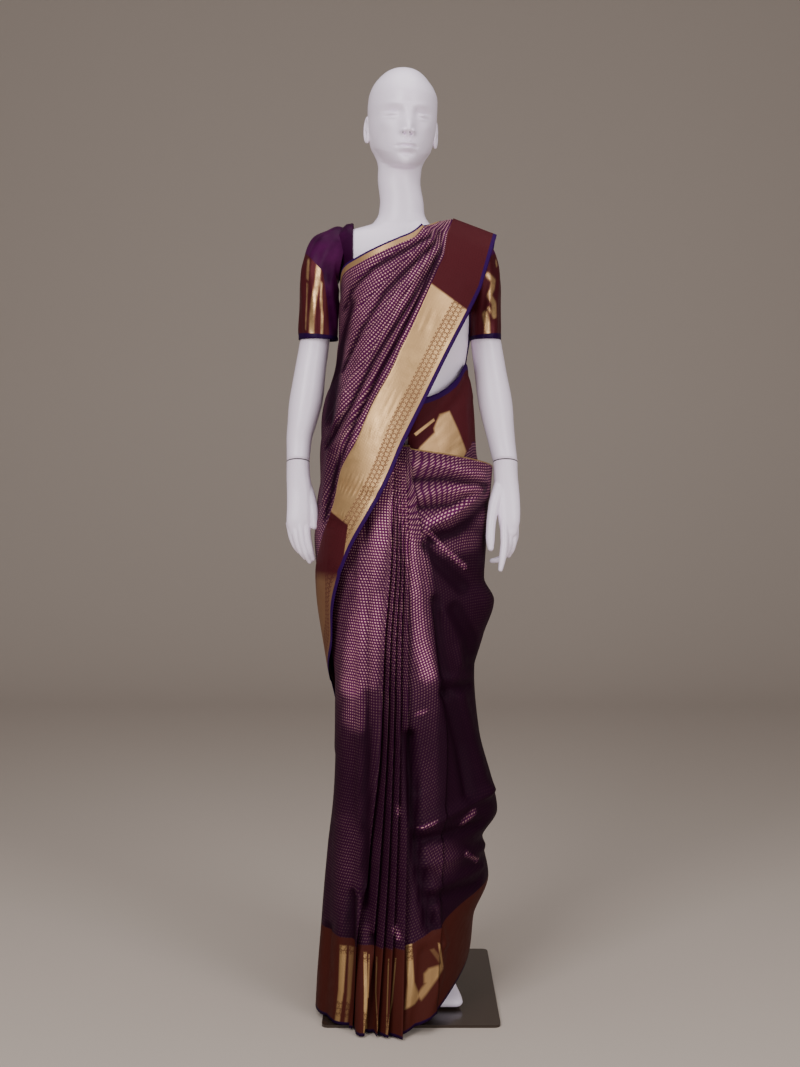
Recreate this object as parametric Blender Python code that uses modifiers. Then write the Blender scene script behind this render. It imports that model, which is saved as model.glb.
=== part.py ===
"""Silk sari draped in the nivi way with its blouse, on a mannequin with a base plate. Metres, +Z up.

The wearer faces -Y. Left and right are the wearer's, so the wearer's left is +X. The origin lies on the
underside of the base plate, below the middle of the body.
"""

import math
from collections import namedtuple

import bpy
import numpy as np

FIT_GAP = 0.0003

PLATE_LEFT, PLATE_RIGHT = -0.140, 0.180
PLATE_FRONT, PLATE_BACK = -0.196, 0.250
PLATE_THICK = 0.005
PLATE_CORNER = 0.012

Section = namedtuple("Section", "z x half_width front back")

TORSO = (
    Section(0.700, 0.010, 0.090, 0.050, 0.060),
    Section(0.760, 0.010, 0.118, 0.066, 0.080),
    Section(0.840, 0.010, 0.130, 0.076, 0.094),
    Section(0.920, 0.010, 0.132, 0.078, 0.096),
    Section(1.000, 0.008, 0.126, 0.076, 0.088),
    Section(1.080, 0.005, 0.108, 0.070, 0.076),
    Section(1.160, 0.002, 0.092, 0.066, 0.068),
    Section(1.230, 0.000, 0.090, 0.070, 0.068),
    Section(1.290, 0.000, 0.096, 0.088, 0.074),
    Section(1.340, 0.000, 0.100, 0.096, 0.078),
    Section(1.385, 0.000, 0.112, 0.080, 0.078),
    Section(1.415, 0.000, 0.124, 0.064, 0.068),
    Section(1.434, 0.000, 0.128, 0.054, 0.058),
    Section(1.446, 0.000, 0.112, 0.047, 0.052),
    Section(1.455, 0.001, 0.080, 0.041, 0.048),
    Section(1.463, 0.002, 0.055, 0.038, 0.046),
    Section(1.485, 0.003, 0.043, 0.036, 0.046),
    Section(1.540, 0.004, 0.041, 0.036, 0.048),
    Section(1.562, 0.005, 0.046, 0.070, 0.056),
    Section(1.582, 0.006, 0.052, 0.084, 0.072),
    Section(1.612, 0.006, 0.059, 0.086, 0.086),
    Section(1.650, 0.005, 0.064, 0.084, 0.096),
    Section(1.690, 0.004, 0.066, 0.084, 0.100),
    Section(1.722, 0.003, 0.059, 0.072, 0.090),
    Section(1.745, 0.002, 0.042, 0.050, 0.064),
    Section(1.758, 0.002, 0.020, 0.024, 0.034),
)

Limb = namedtuple("Limb", "x y z half_width half_depth")

RIGHT_LEG = (
    Limb(-0.050, 0.000, 0.800, 0.070, 0.075),
    Limb(-0.048, -0.002, 0.620, 0.058, 0.064),
    Limb(-0.045, 0.000, 0.480, 0.044, 0.050),
    Limb(-0.044, 0.012, 0.340, 0.044, 0.050),
    Limb(-0.042, 0.016, 0.180, 0.030, 0.034),
    Limb(-0.040, 0.020, 0.080, 0.026, 0.032),
    Limb(-0.040, 0.015, 0.040, 0.027, 0.040),
    Limb(-0.040, -0.010, PLATE_THICK + FIT_GAP, 0.032, 0.080),
)
LEFT_LEG = (
    Limb(0.066, 0.000, 0.800, 0.066, 0.075),
    Limb(0.066, -0.010, 0.620, 0.054, 0.062),
    Limb(0.064, -0.014, 0.480, 0.042, 0.048),
    Limb(0.064, -0.010, 0.340, 0.041, 0.047),
    Limb(0.065, -0.014, 0.180, 0.028, 0.033),
    Limb(0.066, -0.020, 0.080, 0.025, 0.031),
    Limb(0.070, -0.030, 0.040, 0.026, 0.040),
    Limb(0.076, -0.060, PLATE_THICK + FIT_GAP, 0.030, 0.075),
)

# Each arm runs from inside the shoulder to the wrist, where the hand plugs on.
RIGHT_ARM = (
    Limb(-0.1502, 0.008, 1.427, 0.018, 0.022),
    Limb(-0.1600, 0.008, 1.408, 0.025, 0.030),
    Limb(-0.1600, 0.008, 1.380, 0.030, 0.035),
    Limb(-0.1600, 0.008, 1.330, 0.0295, 0.034),
    Limb(-0.1635, 0.008, 1.235, 0.028, 0.032),
    Limb(-0.1790, 0.004, 1.128, 0.031, 0.033),
    Limb(-0.1920, -0.004, 1.051, 0.024, 0.028),
    Limb(-0.1950, -0.012, 1.010, 0.021, 0.024),
)
LEFT_ARM = (
    Limb(0.1502, 0.008, 1.427, 0.018, 0.022),
    Limb(0.1600, 0.008, 1.408, 0.025, 0.030),
    Limb(0.1600, 0.008, 1.380, 0.030, 0.035),
    Limb(0.1600, 0.008, 1.330, 0.0295, 0.034),
    Limb(0.1650, 0.008, 1.235, 0.029, 0.032),
    Limb(0.1810, 0.004, 1.128, 0.032, 0.033),
    Limb(0.1930, -0.004, 1.051, 0.028, 0.029),
    Limb(0.2010, -0.012, 1.010, 0.022, 0.024),
)
HAND_TURN = math.radians(24)
PALM = (
    # x and y are along the palm's thickness and width here, before the hand is turned.
    Limb(0.000, 0.000, 0.0000, 0.0200, 0.0230),
    Limb(0.000, 0.000, -0.030, 0.0170, 0.0300),
    Limb(0.000, 0.000, -0.070, 0.0150, 0.0380),
    Limb(0.003, 0.000, -0.100, 0.0120, 0.0360),
)
Finger = namedtuple("Finger", "across start length bend radius")
FINGERS = (
    Finger(-0.0270, -0.090, 0.076, 0.10, 0.0082),
    Finger(-0.0092, -0.092, 0.086, 0.16, 0.0084),
    Finger(0.0088, -0.090, 0.080, 0.24, 0.0082),
    Finger(0.0258, -0.086, 0.064, 0.32, 0.0074),
)
THUMB = (
    Limb(0.002, -0.018, -0.022, 0.0100, 0.0110),
    Limb(0.004, -0.038, -0.052, 0.0095, 0.0100),
    Limb(0.006, -0.050, -0.082, 0.0088, 0.0090),
    Limb(0.008, -0.054, -0.104, 0.0050, 0.0050),
)

BLOUSE_THICK = 0.0016
BLOUSE_CLEAR = 0.0016
BLOUSE_BOTTOM = 1.293
NECK_HALF_WIDTH = 0.093
NECK_BOTTOM = 1.372
SLEEVE_TOP_X = 0.150
SLEEVE = (
    Limb(0.1640, 0.008, 1.438, 0.0343, 0.0370),
    Limb(0.1630, 0.008, 1.408, 0.0340, 0.0400),
    Limb(0.1615, 0.008, 1.360, 0.0360, 0.0420),
    Limb(0.1620, 0.008, 1.300, 0.0350, 0.0400),
    Limb(0.1630, 0.008, 1.247, 0.0340, 0.0385),
)


def clear_scene():
    for item in list(bpy.data.objects):
        bpy.data.objects.remove(item, do_unlink=True)


def make_material(name, colour, roughness, metallic=0.0):
    material = bpy.data.materials.new(name)
    material.use_nodes = True
    shader = material.node_tree.nodes["Principled BSDF"]
    shader.inputs["Base Color"].default_value = (*colour, 1.0)
    shader.inputs["Roughness"].default_value = roughness
    shader.inputs["Metallic"].default_value = metallic
    return material


def add_mesh(name, points, faces, material, collection):
    mesh = bpy.data.meshes.new(name)
    mesh.from_pydata([tuple(p) for p in points], [], faces)
    mesh.shade_smooth()
    mesh.materials.append(material)
    item = bpy.data.objects.new(name, mesh)
    collection.objects.link(item)
    return item


def loft_rings(rings):
    """Points and faces of a closed solid through rings of points, each ring counter-clockwise from above."""
    sides = len(rings[0])
    points = [p for ring in rings for p in ring]
    faces = []
    for row in range(len(rings) - 1):
        low, high = row * sides, (row + 1) * sides
        for k in range(sides):
            nxt = (k + 1) % sides
            faces.append((low + k, low + nxt, high + nxt, high + k))
    faces.append(tuple(reversed(range(sides))))
    faces.append(tuple(range((len(rings) - 1) * sides, len(rings) * sides)))
    return points, faces


def body_ring(section, sides, grow=0.0):
    """A ring round the torso whose front and back have their own depth."""
    ring = []
    for k in range(sides):
        angle = 2 * math.pi * k / sides
        depth = section.front if math.cos(angle) > 0 else section.back
        x = section.x + (section.half_width + grow) * math.sin(angle)
        y = -(depth + grow) * math.cos(angle)
        ring.append((x, y, section.z))
    return ring


def limb_ring(limb, sides, grow=0.0):
    ring = []
    for k in range(sides):
        angle = 2 * math.pi * k / sides
        x = limb.x + (limb.half_width + grow) * math.sin(angle)
        y = limb.y - (limb.half_depth + grow) * math.cos(angle)
        ring.append((x, y, limb.z))
    return ring


def limb_solid(name, limbs, sides, material, collection, grow=0.0):
    ordered = sorted(limbs, key=lambda limb: limb.z)
    points, faces = loft_rings([limb_ring(limb, sides, grow) for limb in ordered])
    return add_mesh(name, points, faces, material, collection)


def combine(item, other, operation="UNION"):
    """Applies an exact Boolean of other to item, then removes other."""
    change = item.modifiers.new(operation.title(), "BOOLEAN")
    change.operation = operation
    change.solver = "EXACT"
    change.object = other
    bpy.context.view_layer.update()
    mesh = bpy.data.meshes.new_from_object(item.evaluated_get(bpy.context.evaluated_depsgraph_get()))
    item.modifiers.clear()
    item.data = mesh
    bpy.data.objects.remove(other, do_unlink=True)


def make_plate(material, collection):
    width, depth = PLATE_RIGHT - PLATE_LEFT, PLATE_BACK - PLATE_FRONT
    bpy.ops.mesh.primitive_cube_add(size=1)
    plate = bpy.context.active_object
    plate.name = "base_plate"
    middle = ((PLATE_LEFT + PLATE_RIGHT) / 2, (PLATE_FRONT + PLATE_BACK) / 2, PLATE_THICK / 2)
    for vertex in plate.data.vertices:
        x, y, z = vertex.co
        vertex.co = (middle[0] + x * width, middle[1] + y * depth, middle[2] + z * PLATE_THICK)
    weights = plate.data.attributes.new("bevel_weight_edge", "FLOAT", "EDGE")
    for edge in plate.data.edges:
        a, b = (plate.data.vertices[i].co for i in edge.vertices)
        weights.data[edge.index].value = 1.0 if abs(a.z - b.z) > PLATE_THICK / 2 else 0.0
    bevel = plate.modifiers.new("Rounded corners", "BEVEL")
    bevel.limit_method = "WEIGHT"
    bevel.width = PLATE_CORNER
    bevel.segments = 4
    plate.data.materials.append(material)
    for old in list(plate.users_collection):
        old.objects.unlink(plate)
    collection.objects.link(plate)


def make_body(material, collection):
    points, faces = loft_rings([body_ring(section, 24) for section in TORSO])
    body = add_mesh("mannequin_body", points, faces, material, collection)
    for name, leg in (("left leg", LEFT_LEG), ("right leg", RIGHT_LEG)):
        combine(body, limb_solid(name, leg, 14, material, collection))
    for side in (-1, 1):
        bpy.ops.mesh.primitive_uv_sphere_add(segments=10, ring_count=6, radius=1)
        ear = bpy.context.active_object
        for vertex in ear.data.vertices:
            x, y, z = vertex.co
            vertex.co = (0.006 + side * 0.064 + 0.008 * x, 0.008 + 0.012 * y, 1.634 + 0.026 * z)
        combine(body, ear)
    nose = (
        Limb(0.008, -0.082, 1.660, 0.005, 0.006),
        Limb(0.008, -0.092, 1.630, 0.010, 0.012),
        Limb(0.008, -0.086, 1.618, 0.010, 0.010),
    )
    combine(body, limb_solid("nose", nose, 8, material, collection))
    return body


def make_arm(name, limbs, material, collection):
    return limb_solid(name, limbs, 14, material, collection)


def turned(points, side, wrist):
    """Hand points turned about the vertical and moved below the wrist, mirrored for the right hand."""
    out = []
    for x, y, z in points:
        tx = x * math.cos(HAND_TURN) - y * math.sin(HAND_TURN)
        ty = x * math.sin(HAND_TURN) + y * math.cos(HAND_TURN)
        out.append((wrist.x - side * tx, wrist.y + ty, wrist.z - FIT_GAP + z))
    return out


def make_hand(name, side, wrist, material, collection):
    """The palm and its five fingers, joined. The fingers curl a little towards the thigh."""
    pieces = [sorted(PALM, key=lambda limb: limb.z)]
    for finger in FINGERS:
        rows = []
        for share in (0.0, 0.4, 0.75, 1.0):
            drop = finger.length * share
            inward = finger.bend * drop * share
            radius = finger.radius * (1.0 - 0.35 * share * share)
            rows.append(Limb(0.003 + inward, finger.across, finger.start - drop, radius, radius))
        pieces.append(sorted(rows, key=lambda limb: limb.z))
    pieces.append(sorted(THUMB, key=lambda limb: limb.z))
    hand = None
    for index, rows in enumerate(pieces):
        sides = 14 if index == 0 else 8
        rings = [turned(limb_ring(limb, sides), side, wrist) for limb in rows]
        if side > 0:
            rings = [list(reversed(ring)) for ring in rings]
        points, faces = loft_rings(rings)
        piece = add_mesh(name if hand is None else "finger", points, faces, material, collection)
        if hand is None:
            hand = piece
        else:
            combine(hand, piece)
    return hand


def tube_between(name, outer, inner, material, collection):
    """A closed sleeve: outer and inner rings joined at both ends."""
    sides = len(outer[0])
    rings = outer + list(reversed(inner))
    points = [p for ring in rings for p in ring]
    faces = []
    for row in range(len(rings)):
        low, high = row * sides, ((row + 1) % len(rings)) * sides
        for k in range(sides):
            nxt = (k + 1) % sides
            faces.append((low + k, low + nxt, high + nxt, high + k))
    return add_mesh(name, points, faces, material, collection)


def make_sleeve(name, side, material, collection):
    """A short sleeve round the arm, its upper end sloping along the armhole."""
    rows = sorted(SLEEVE, key=lambda limb: limb.z)
    outer, inner = [], []
    for limb in rows:
        limb = limb._replace(x=side * limb.x)
        slope = 0.35 if limb.z > 1.39 else 0.0
        for store, grow in ((outer, 0.0), (inner, -BLOUSE_THICK)):
            ring = limb_ring(limb, 24, grow)
            store.append([(x, y, z - slope * abs(x - side * SLEEVE_TOP_X)) for x, y, z in ring])
    return tube_between(name, outer, inner, material, collection)


def blouse_rings(grow):
    sections = [s for s in TORSO if BLOUSE_BOTTOM - 0.01 < s.z < 1.45]
    low = sections[0]._replace(z=BLOUSE_BOTTOM)
    rest = sections[1:]
    return [body_ring(section, 24, grow) for section in [low, *rest]]


def make_blouse(material, collection):
    """A thin shell on the torso, open at the bottom and at the wide neck."""
    inner = blouse_rings(BLOUSE_CLEAR)
    outer = blouse_rings(BLOUSE_CLEAR + BLOUSE_THICK)
    points, faces = loft_rings(outer)
    shell = add_mesh("blouse_body", points, faces, material, collection)
    lowest = [(x, y, z - 0.02) for x, y, z in inner[0]]
    points, faces = loft_rings([lowest, *inner])
    combine(shell, add_mesh("hollow", points, faces, material, collection), "DIFFERENCE")
    bpy.ops.mesh.primitive_cube_add(size=1)
    opening = bpy.context.active_object
    for vertex in opening.data.vertices:
        x, y, z = vertex.co
        vertex.co = (x * 2 * NECK_HALF_WIDTH, y * 0.4, NECK_BOTTOM + (z + 0.5) * 0.2)
    combine(shell, opening, "DIFFERENCE")
    return shell


# The sari's cloth. A station is one line across its width, from the lower edge to the upper edge. Stations
# follow each other along the length: inner wrap, front panel, front pleats, outer wrap, shoulder piece, tail.
CLOTH_THICK = 0.0010
POINTS_ACROSS = 19
INNER_OFF = 0.000
PLEAT_RISE = 0.0050
OUTER_OFF = 0.0075
PALLU_OFF = 0.0050
FOLD_DEPTH = 0.010
FOLD_SHARE = 0.6

Form = namedtuple("Form", "z left right front back")

# The surface that the inner wrap lies on, as distances from the vertical through the origin.
SKIRT_FORM = (
    Form(0.000, 0.147, 0.116, 0.245, 0.105),
    Form(0.050, 0.146, 0.116, 0.236, 0.105),
    Form(0.155, 0.141, 0.127, 0.205, 0.106),
    Form(0.300, 0.132, 0.140, 0.170, 0.108),
    Form(0.470, 0.122, 0.132, 0.142, 0.112),
    Form(0.594, 0.118, 0.130, 0.130, 0.118),
    Form(0.700, 0.137, 0.134, 0.122, 0.124),
    Form(0.840, 0.145, 0.148, 0.114, 0.130),
    Form(0.950, 0.138, 0.152, 0.106, 0.128),
    Form(1.040, 0.137, 0.146, 0.098, 0.112),
    Form(1.120, 0.128, 0.126, 0.090, 0.096),
    Form(1.200, 0.106, 0.112, 0.086, 0.086),
)
# The surface that the shoulder piece hangs on.
PALLU_FORM = (
    Form(0.590, 0.119, 0.150, 0.152, 0.150),
    Form(0.650, 0.133, 0.160, 0.152, 0.152),
    Form(0.770, 0.150, 0.180, 0.150, 0.154),
    Form(0.870, 0.153, 0.190, 0.146, 0.154),
    Form(0.990, 0.143, 0.190, 0.138, 0.148),
    Form(1.070, 0.142, 0.190, 0.132, 0.140),
    Form(1.130, 0.133, 0.190, 0.128, 0.128),
    Form(1.200, 0.112, 0.190, 0.124, 0.110),
    Form(1.330, 0.106, 0.195, 0.118, 0.096),
    Form(1.400, 0.106, 0.200, 0.108, 0.094),
    Form(1.450, 0.108, 0.210, 0.088, 0.094),
)

Wrap = namedtuple("Wrap", "angle low high")
INNER_WRAP = (
    Wrap(6, 0.012, 1.120),
    Wrap(28, 0.060, 1.135),
    Wrap(52, 0.090, 1.165),
    Wrap(76, 0.100, 1.195),
    Wrap(102, 0.100, 1.190),
    Wrap(128, 0.080, 1.150),
    Wrap(154, 0.040, 1.110),
    Wrap(180, 0.012, 1.090),
    Wrap(206, 0.012, 1.080),
    Wrap(230, 0.012, 1.075),
    Wrap(252, 0.010, 1.070),
)
PANEL_SHARES = (0.0, 0.25, 0.5, 0.75, 0.9)
PANEL_LOW, PANEL_HIGH = 0.008, 1.055

# Each front pleat's edge runs through these distances from the middle, one row for each height.
PleatRow = namedtuple("PleatRow", "z first second third fourth fifth panel")
PLEATS = (
    PleatRow(0.004, -0.080, -0.056, -0.037, -0.019, 0.004, 0.058),
    PleatRow(0.305, -0.050, -0.032, -0.018, -0.005, 0.011, 0.072),
    PleatRow(0.490, -0.032, -0.0215, -0.011, 0.000, 0.013, 0.080),
    PleatRow(0.680, -0.0255, -0.016, -0.007, 0.002, 0.013, 0.064),
    PleatRow(0.830, -0.015, -0.007, 0.000, 0.0060, 0.013, 0.043),
    PleatRow(1.020, -0.010, -0.005, 0.000, 0.005, 0.010, 0.0165),
)
PLEAT_LOW, PLEAT_HIGH = 0.003, 1.040
LAST_PLEAT = 5
WIDE_PLEAT_SHARES = (0.35, 0.7, 1.0)

Outer = namedtuple("Outer", "share low high swag")
# Shares run from the front panel's edge to the wearer's left side.
OUTER_FRONT = (
    Outer(0.14, 0.010, 1.030, 0.05),
    Outer(0.34, 0.018, 1.024, 0.25),
    Outer(0.56, 0.030, 1.016, 0.60),
    Outer(0.78, 0.045, 1.008, 0.90),
    Outer(1.00, 0.062, 1.002, 1.00),
)
OUTER_BACK = (
    Outer(112, 0.090, 1.006, 0.85),
    Outer(134, 0.140, 1.020, 0.50),
    Outer(156, 0.210, 1.050, 0.20),
    Outer(180, 0.300, 1.100, 0.00),
    Outer(206, 0.390, 1.160, 0.00),
)
SWAG_OUTLINE = (
    # How far the cloth stands out at the wearer's left side: height, distance from the middle.
    (0.050, 0.122),
    (0.100, 0.134),
    (0.155, 0.140),
    (0.226, 0.168),
    (0.298, 0.156),
    (0.350, 0.185),
    (0.400, 0.176),
    (0.500, 0.150),
    (0.607, 0.141),
    (0.680, 0.158),
    (0.747, 0.179),
    (0.790, 0.160),
    (0.840, 0.163),
    (0.900, 0.166),
    (0.950, 0.172),
    (1.000, 0.176),
)

Line = namedtuple("Line", "share low_x low_z border_x border_z high_x high_z")
# Over the front: the lower edge, the wide border's upper edge and the cloth's upper edge.
PALLU_FRONT = (
    Line(0.12, -0.118, 0.680, -0.150, 0.853, -0.111, 1.345),
    Line(0.26, -0.116, 0.738, -0.122, 0.930, -0.101, 1.374),
    Line(0.40, -0.092, 0.833, -0.104, 0.989, -0.073, 1.390),
    Line(0.52, -0.055, 0.907, -0.073, 1.053, -0.048, 1.402),
    Line(0.64, -0.018, 0.980, -0.046, 1.119, -0.022, 1.414),
    Line(0.76, 0.0275, 1.086, 0.000, 1.214, 0.004, 1.426),
    Line(0.88, 0.082, 1.203, 0.044, 1.311, 0.026, 1.438),
    Line(1.00, 0.143, 1.331, 0.075, 1.388, 0.038, 1.450),
)
PALLU_SIDE = Line(0.0, None, 0.594, None, 0.785, None, 1.340)
FAN_SHARES = (0.13, 0.27, 0.42, 0.58, 0.75, 0.90)
BORDER_SHARES = (0.0, 0.25, 0.5, 0.75, 1.0)

Across = namedtuple("Across", "low_x low_y low_z border_x border_y border_z high_x high_y high_z")
# Over the shoulder and down the back.
SHOULDER = (
    Across(0.170, -0.070, 1.392, 0.087, -0.076, 1.430, 0.044, -0.066, 1.448),
    Across(0.183, -0.026, 1.434, 0.096, -0.022, 1.466, 0.052, -0.020, 1.4710),
    Across(0.184, 0.024, 1.438, 0.096, 0.022, 1.468, 0.053, 0.024, 1.4710),
    Across(0.184, 0.060, 1.420, 0.096, 0.060, 1.444, 0.048, 0.062, 1.444),
    Across(0.184, 0.092, 1.382, 0.094, 0.094, 1.398, 0.042, 0.096, 1.404),
    Across(0.182, 0.112, 1.330, 0.092, 0.118, 1.335, 0.034, 0.120, 1.338),
    Across(0.180, 0.160, 1.180, 0.092, 0.166, 1.180, 0.022, 0.168, 1.180),
    Across(0.180, 0.184, 1.020, 0.092, 0.188, 1.020, 0.012, 0.188, 1.020),
    Across(0.180, 0.190, 0.840, 0.092, 0.194, 0.840, 0.004, 0.194, 0.840),
    Across(0.180, 0.186, 0.680, 0.092, 0.192, 0.680, 0.000, 0.192, 0.680),
)


def form_at(form, z):
    heights = [row.z for row in form]
    return Form(z, *(np.interp(z, heights, [row[i] for row in form]) for i in range(1, 5)))


def on_form(form, angle, z, off):
    """The point at this angle from the front, in radians towards the wearer's left, off the form."""
    row = form_at(form, z)
    wide = row.right if math.sin(angle) > 0 else row.left
    deep = row.front if math.cos(angle) > 0 else row.back
    return ((wide + off) * math.sin(angle), -(deep + off) * math.cos(angle), z)


def angle_of(form, x, z):
    row = form_at(form, z)
    wide = row.right if x > 0 else row.left
    return math.asin(max(-1.0, min(1.0, x / wide)))


def heights(low, high):
    return [low + (high - low) * k / (POINTS_ACROSS - 1) for k in range(POINTS_ACROSS)]


def pleat_x(index, z):
    return np.interp(z, [row.z for row in PLEATS], [row[index + 1] for row in PLEATS])


def inner_stations():
    for wrap in INNER_WRAP:
        yield [on_form(SKIRT_FORM, math.radians(wrap.angle), z, INNER_OFF) for z in heights(wrap.low, wrap.high)]


def panel_stations():
    """The plain panel from the wearer's right side to the first pleat's edge."""
    for share in PANEL_SHARES:
        station = []
        for z in heights(PANEL_LOW, PANEL_HIGH):
            end = angle_of(SKIRT_FORM, pleat_x(0, z), z)
            angle = -math.pi / 2 + share * (end + math.pi / 2)
            station.append(on_form(SKIRT_FORM, angle, z, INNER_OFF + (OUTER_OFF + PLEAT_RISE) * share))
        yield station


def fold_at(index, z):
    """How far a pleat's edge lies over the next pleat, less where they crowd at the waist."""
    x = pleat_x(index, z)
    before = pleat_x(index - 1, z) if index else x - FOLD_DEPTH / FOLD_SHARE
    after = pleat_x(index + 1, z) if index < LAST_PLEAT else x + FOLD_DEPTH / FOLD_SHARE
    return min(FOLD_DEPTH, FOLD_SHARE * (x - before), FOLD_SHARE * (after - x))


def pleat_stations():
    """Knife pleats: each edge lies over the next one's hidden start."""
    levels = heights(PLEAT_LOW, PLEAT_HIGH)
    for index in range(LAST_PLEAT + 1):
        for share in WIDE_PLEAT_SHARES if index == LAST_PLEAT else (1.0,):
            station = []
            for z in levels:
                start = pleat_x(index - 1, z) - fold_at(index - 1, z) if index else 0.0
                x = start + (pleat_x(index, z) - start) * share
                angle = angle_of(SKIRT_FORM, x, z)
                station.append(on_form(SKIRT_FORM, angle, z, OUTER_OFF + PLEAT_RISE * share))
            yield station
        hidden = []
        for z in levels:
            angle = angle_of(SKIRT_FORM, pleat_x(index, z) - fold_at(index, z), z)
            hidden.append(on_form(SKIRT_FORM, angle, z, OUTER_OFF))
        yield hidden


def swag(z):
    rows = SWAG_OUTLINE
    wide = np.interp(z, [row[0] for row in rows], [row[1] for row in rows])
    return max(0.0, wide - form_at(SKIRT_FORM, z).right - OUTER_OFF)


def outer_stations():
    for outer in OUTER_FRONT:
        station = []
        for z in heights(outer.low, outer.high):
            start = angle_of(SKIRT_FORM, pleat_x(LAST_PLEAT, z), z)
            angle = start + outer.share * (math.pi / 2 - start)
            station.append(on_form(SKIRT_FORM, angle, z, OUTER_OFF + outer.swag * swag(z)))
        yield station
    for outer in OUTER_BACK:
        angle = math.radians(outer.share)
        yield [
            on_form(SKIRT_FORM, angle, z, OUTER_OFF + outer.swag * swag(z))
            for z in heights(outer.low, outer.high)
        ]


def mix(a, b, share):
    return tuple(p + (q - p) * share for p, q in zip(a, b))


def across_pleats(low, border, high, border_width, fan_width):
    """From the lower edge over the wide border and the narrow pleats: (place, offset) for each point.

    low, border and high are tuples of like numbers, and a place is such a tuple between them.
    """
    top = PALLU_OFF + PLEAT_RISE
    places = [(mix(low, border, share), top) for share in BORDER_SHARES]
    places.append((mix(border, low, FOLD_DEPTH / border_width), PALLU_OFF))
    edges = (0.0, *FAN_SHARES, 1.0)
    for before, share, after in zip(edges, edges[1:], edges[2:]):
        fold = min(FOLD_DEPTH / fan_width, FOLD_SHARE * (after - share), FOLD_SHARE * (share - before))
        places.append((mix(border, high, share), top))
        places.append((mix(border, high, share - fold), PALLU_OFF))
    places.append((high, PALLU_OFF + PLEAT_RISE * 0.6))
    return places


def side_station():
    """Where the shoulder piece comes round the wearer's right side, all at the same angle."""
    row = PALLU_SIDE
    angle = -math.pi / 2
    border_width, fan_width = row.border_z - row.low_z, row.high_z - row.border_z
    places = across_pleats(
        (angle, row.low_z), (angle, row.border_z), (angle, row.high_z), border_width, fan_width
    )
    return [(place[0], place[1], off) for place, off in places]


def pallu_stations():
    side = side_station()
    start = OUTER_BACK[-1]
    start_angle = math.radians(start.share - 360)
    for share in (0.3, 0.55, 0.8, 1.0):
        station = []
        for z, (angle, side_z, off) in zip(heights(start.low, start.high), side):
            angle = start_angle + (angle - start_angle) * share
            z = z + (side_z - z) * share
            inner = np.array(on_form(SKIRT_FORM, angle, z, OUTER_OFF))
            outer = np.array(on_form(PALLU_FORM, angle, z, off))
            station.append(tuple(inner + (outer - inner) * min(1.0, share * 1.4)))
        yield station
    for row in PALLU_FRONT:
        low = (angle_of(PALLU_FORM, row.low_x, row.low_z), row.low_z)
        border = (angle_of(PALLU_FORM, row.border_x, row.border_z), row.border_z)
        high = (angle_of(PALLU_FORM, row.high_x, row.high_z), row.high_z)
        border_width = math.hypot(row.border_x - row.low_x, row.border_z - row.low_z)
        fan_width = math.hypot(row.border_x - row.high_x, row.border_z - row.high_z)
        places = across_pleats(low, border, high, border_width, fan_width)
        yield [on_form(PALLU_FORM, angle, z, off) for (angle, z), off in places]


def shoulder_stations():
    """The pleats, stacked, over the shoulder and down the back. Offsets point out of the body."""
    rows = SHOULDER
    for index, row in enumerate(rows):
        low, border, high = row[0:3], row[3:6], row[6:9]
        after, before = rows[min(index + 1, len(rows) - 1)], rows[max(index - 1, 0)]
        along = np.array(after[3:6]) - np.array(before[3:6])
        out = np.cross((1.0, 0.0, 0.0), along)
        out = out / np.linalg.norm(out)
        places = across_pleats(low, border, high, math.dist(low, border), math.dist(border, high))
        yield [tuple(np.array(place) + out * (off - PALLU_OFF)) for place, off in places]


def make_sari(material, collection):
    stations = [
        *inner_stations(),
        *panel_stations(),
        *pleat_stations(),
        *outer_stations(),
        *pallu_stations(),
        *shoulder_stations(),
    ]
    points = [p for station in stations for p in station]
    faces = []
    for row in range(len(stations) - 1):
        low, high = row * POINTS_ACROSS, (row + 1) * POINTS_ACROSS
        for k in range(POINTS_ACROSS - 1):
            faces.append((low + k, high + k, high + k + 1, low + k + 1))
    sari = add_mesh("sari", points, faces, material, collection)
    solidify = sari.modifiers.new("Cloth thickness", "SOLIDIFY")
    solidify.thickness = CLOTH_THICK
    solidify.offset = 0.0
    return sari


clear_scene()
sari_collection = bpy.data.collections.new("Silk sari on a mannequin")
bpy.context.scene.collection.children.link(sari_collection)

MANNEQUIN_WHITE = make_material("Mannequin gloss white", (0.80, 0.79, 0.80), 0.35)
PLATE_DARK = make_material("Dark glass plate", (0.05, 0.045, 0.045), 0.12)
BLOUSE_VIOLET = make_material("Blouse violet silk", (0.06, 0.01, 0.13), 0.5)
SLEEVE_TISSUE = make_material("Sleeve gold tissue", (0.25, 0.11, 0.07), 0.4, 0.4)
SARI_PURPLE = make_material("Sari purple silk", (0.09, 0.02, 0.09), 0.5)

make_plate(PLATE_DARK, sari_collection)
make_body(MANNEQUIN_WHITE, sari_collection)
make_arm("arm_right", RIGHT_ARM, MANNEQUIN_WHITE, sari_collection)
make_arm("arm_left", LEFT_ARM, MANNEQUIN_WHITE, sari_collection)
make_hand("hand_right", -1, RIGHT_ARM[-1], MANNEQUIN_WHITE, sari_collection)
make_hand("hand_left", 1, LEFT_ARM[-1], MANNEQUIN_WHITE, sari_collection)
make_blouse(BLOUSE_VIOLET, sari_collection)
make_sleeve("sleeve_right", -1, SLEEVE_TISSUE, sari_collection)
make_sleeve("sleeve_left", 1, SLEEVE_TISSUE, sari_collection)
make_sari(SARI_PURPLE, sari_collection)
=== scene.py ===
import math
from collections import namedtuple

import bmesh
import bpy
import numpy as np
from mathutils import Matrix, Vector


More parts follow.
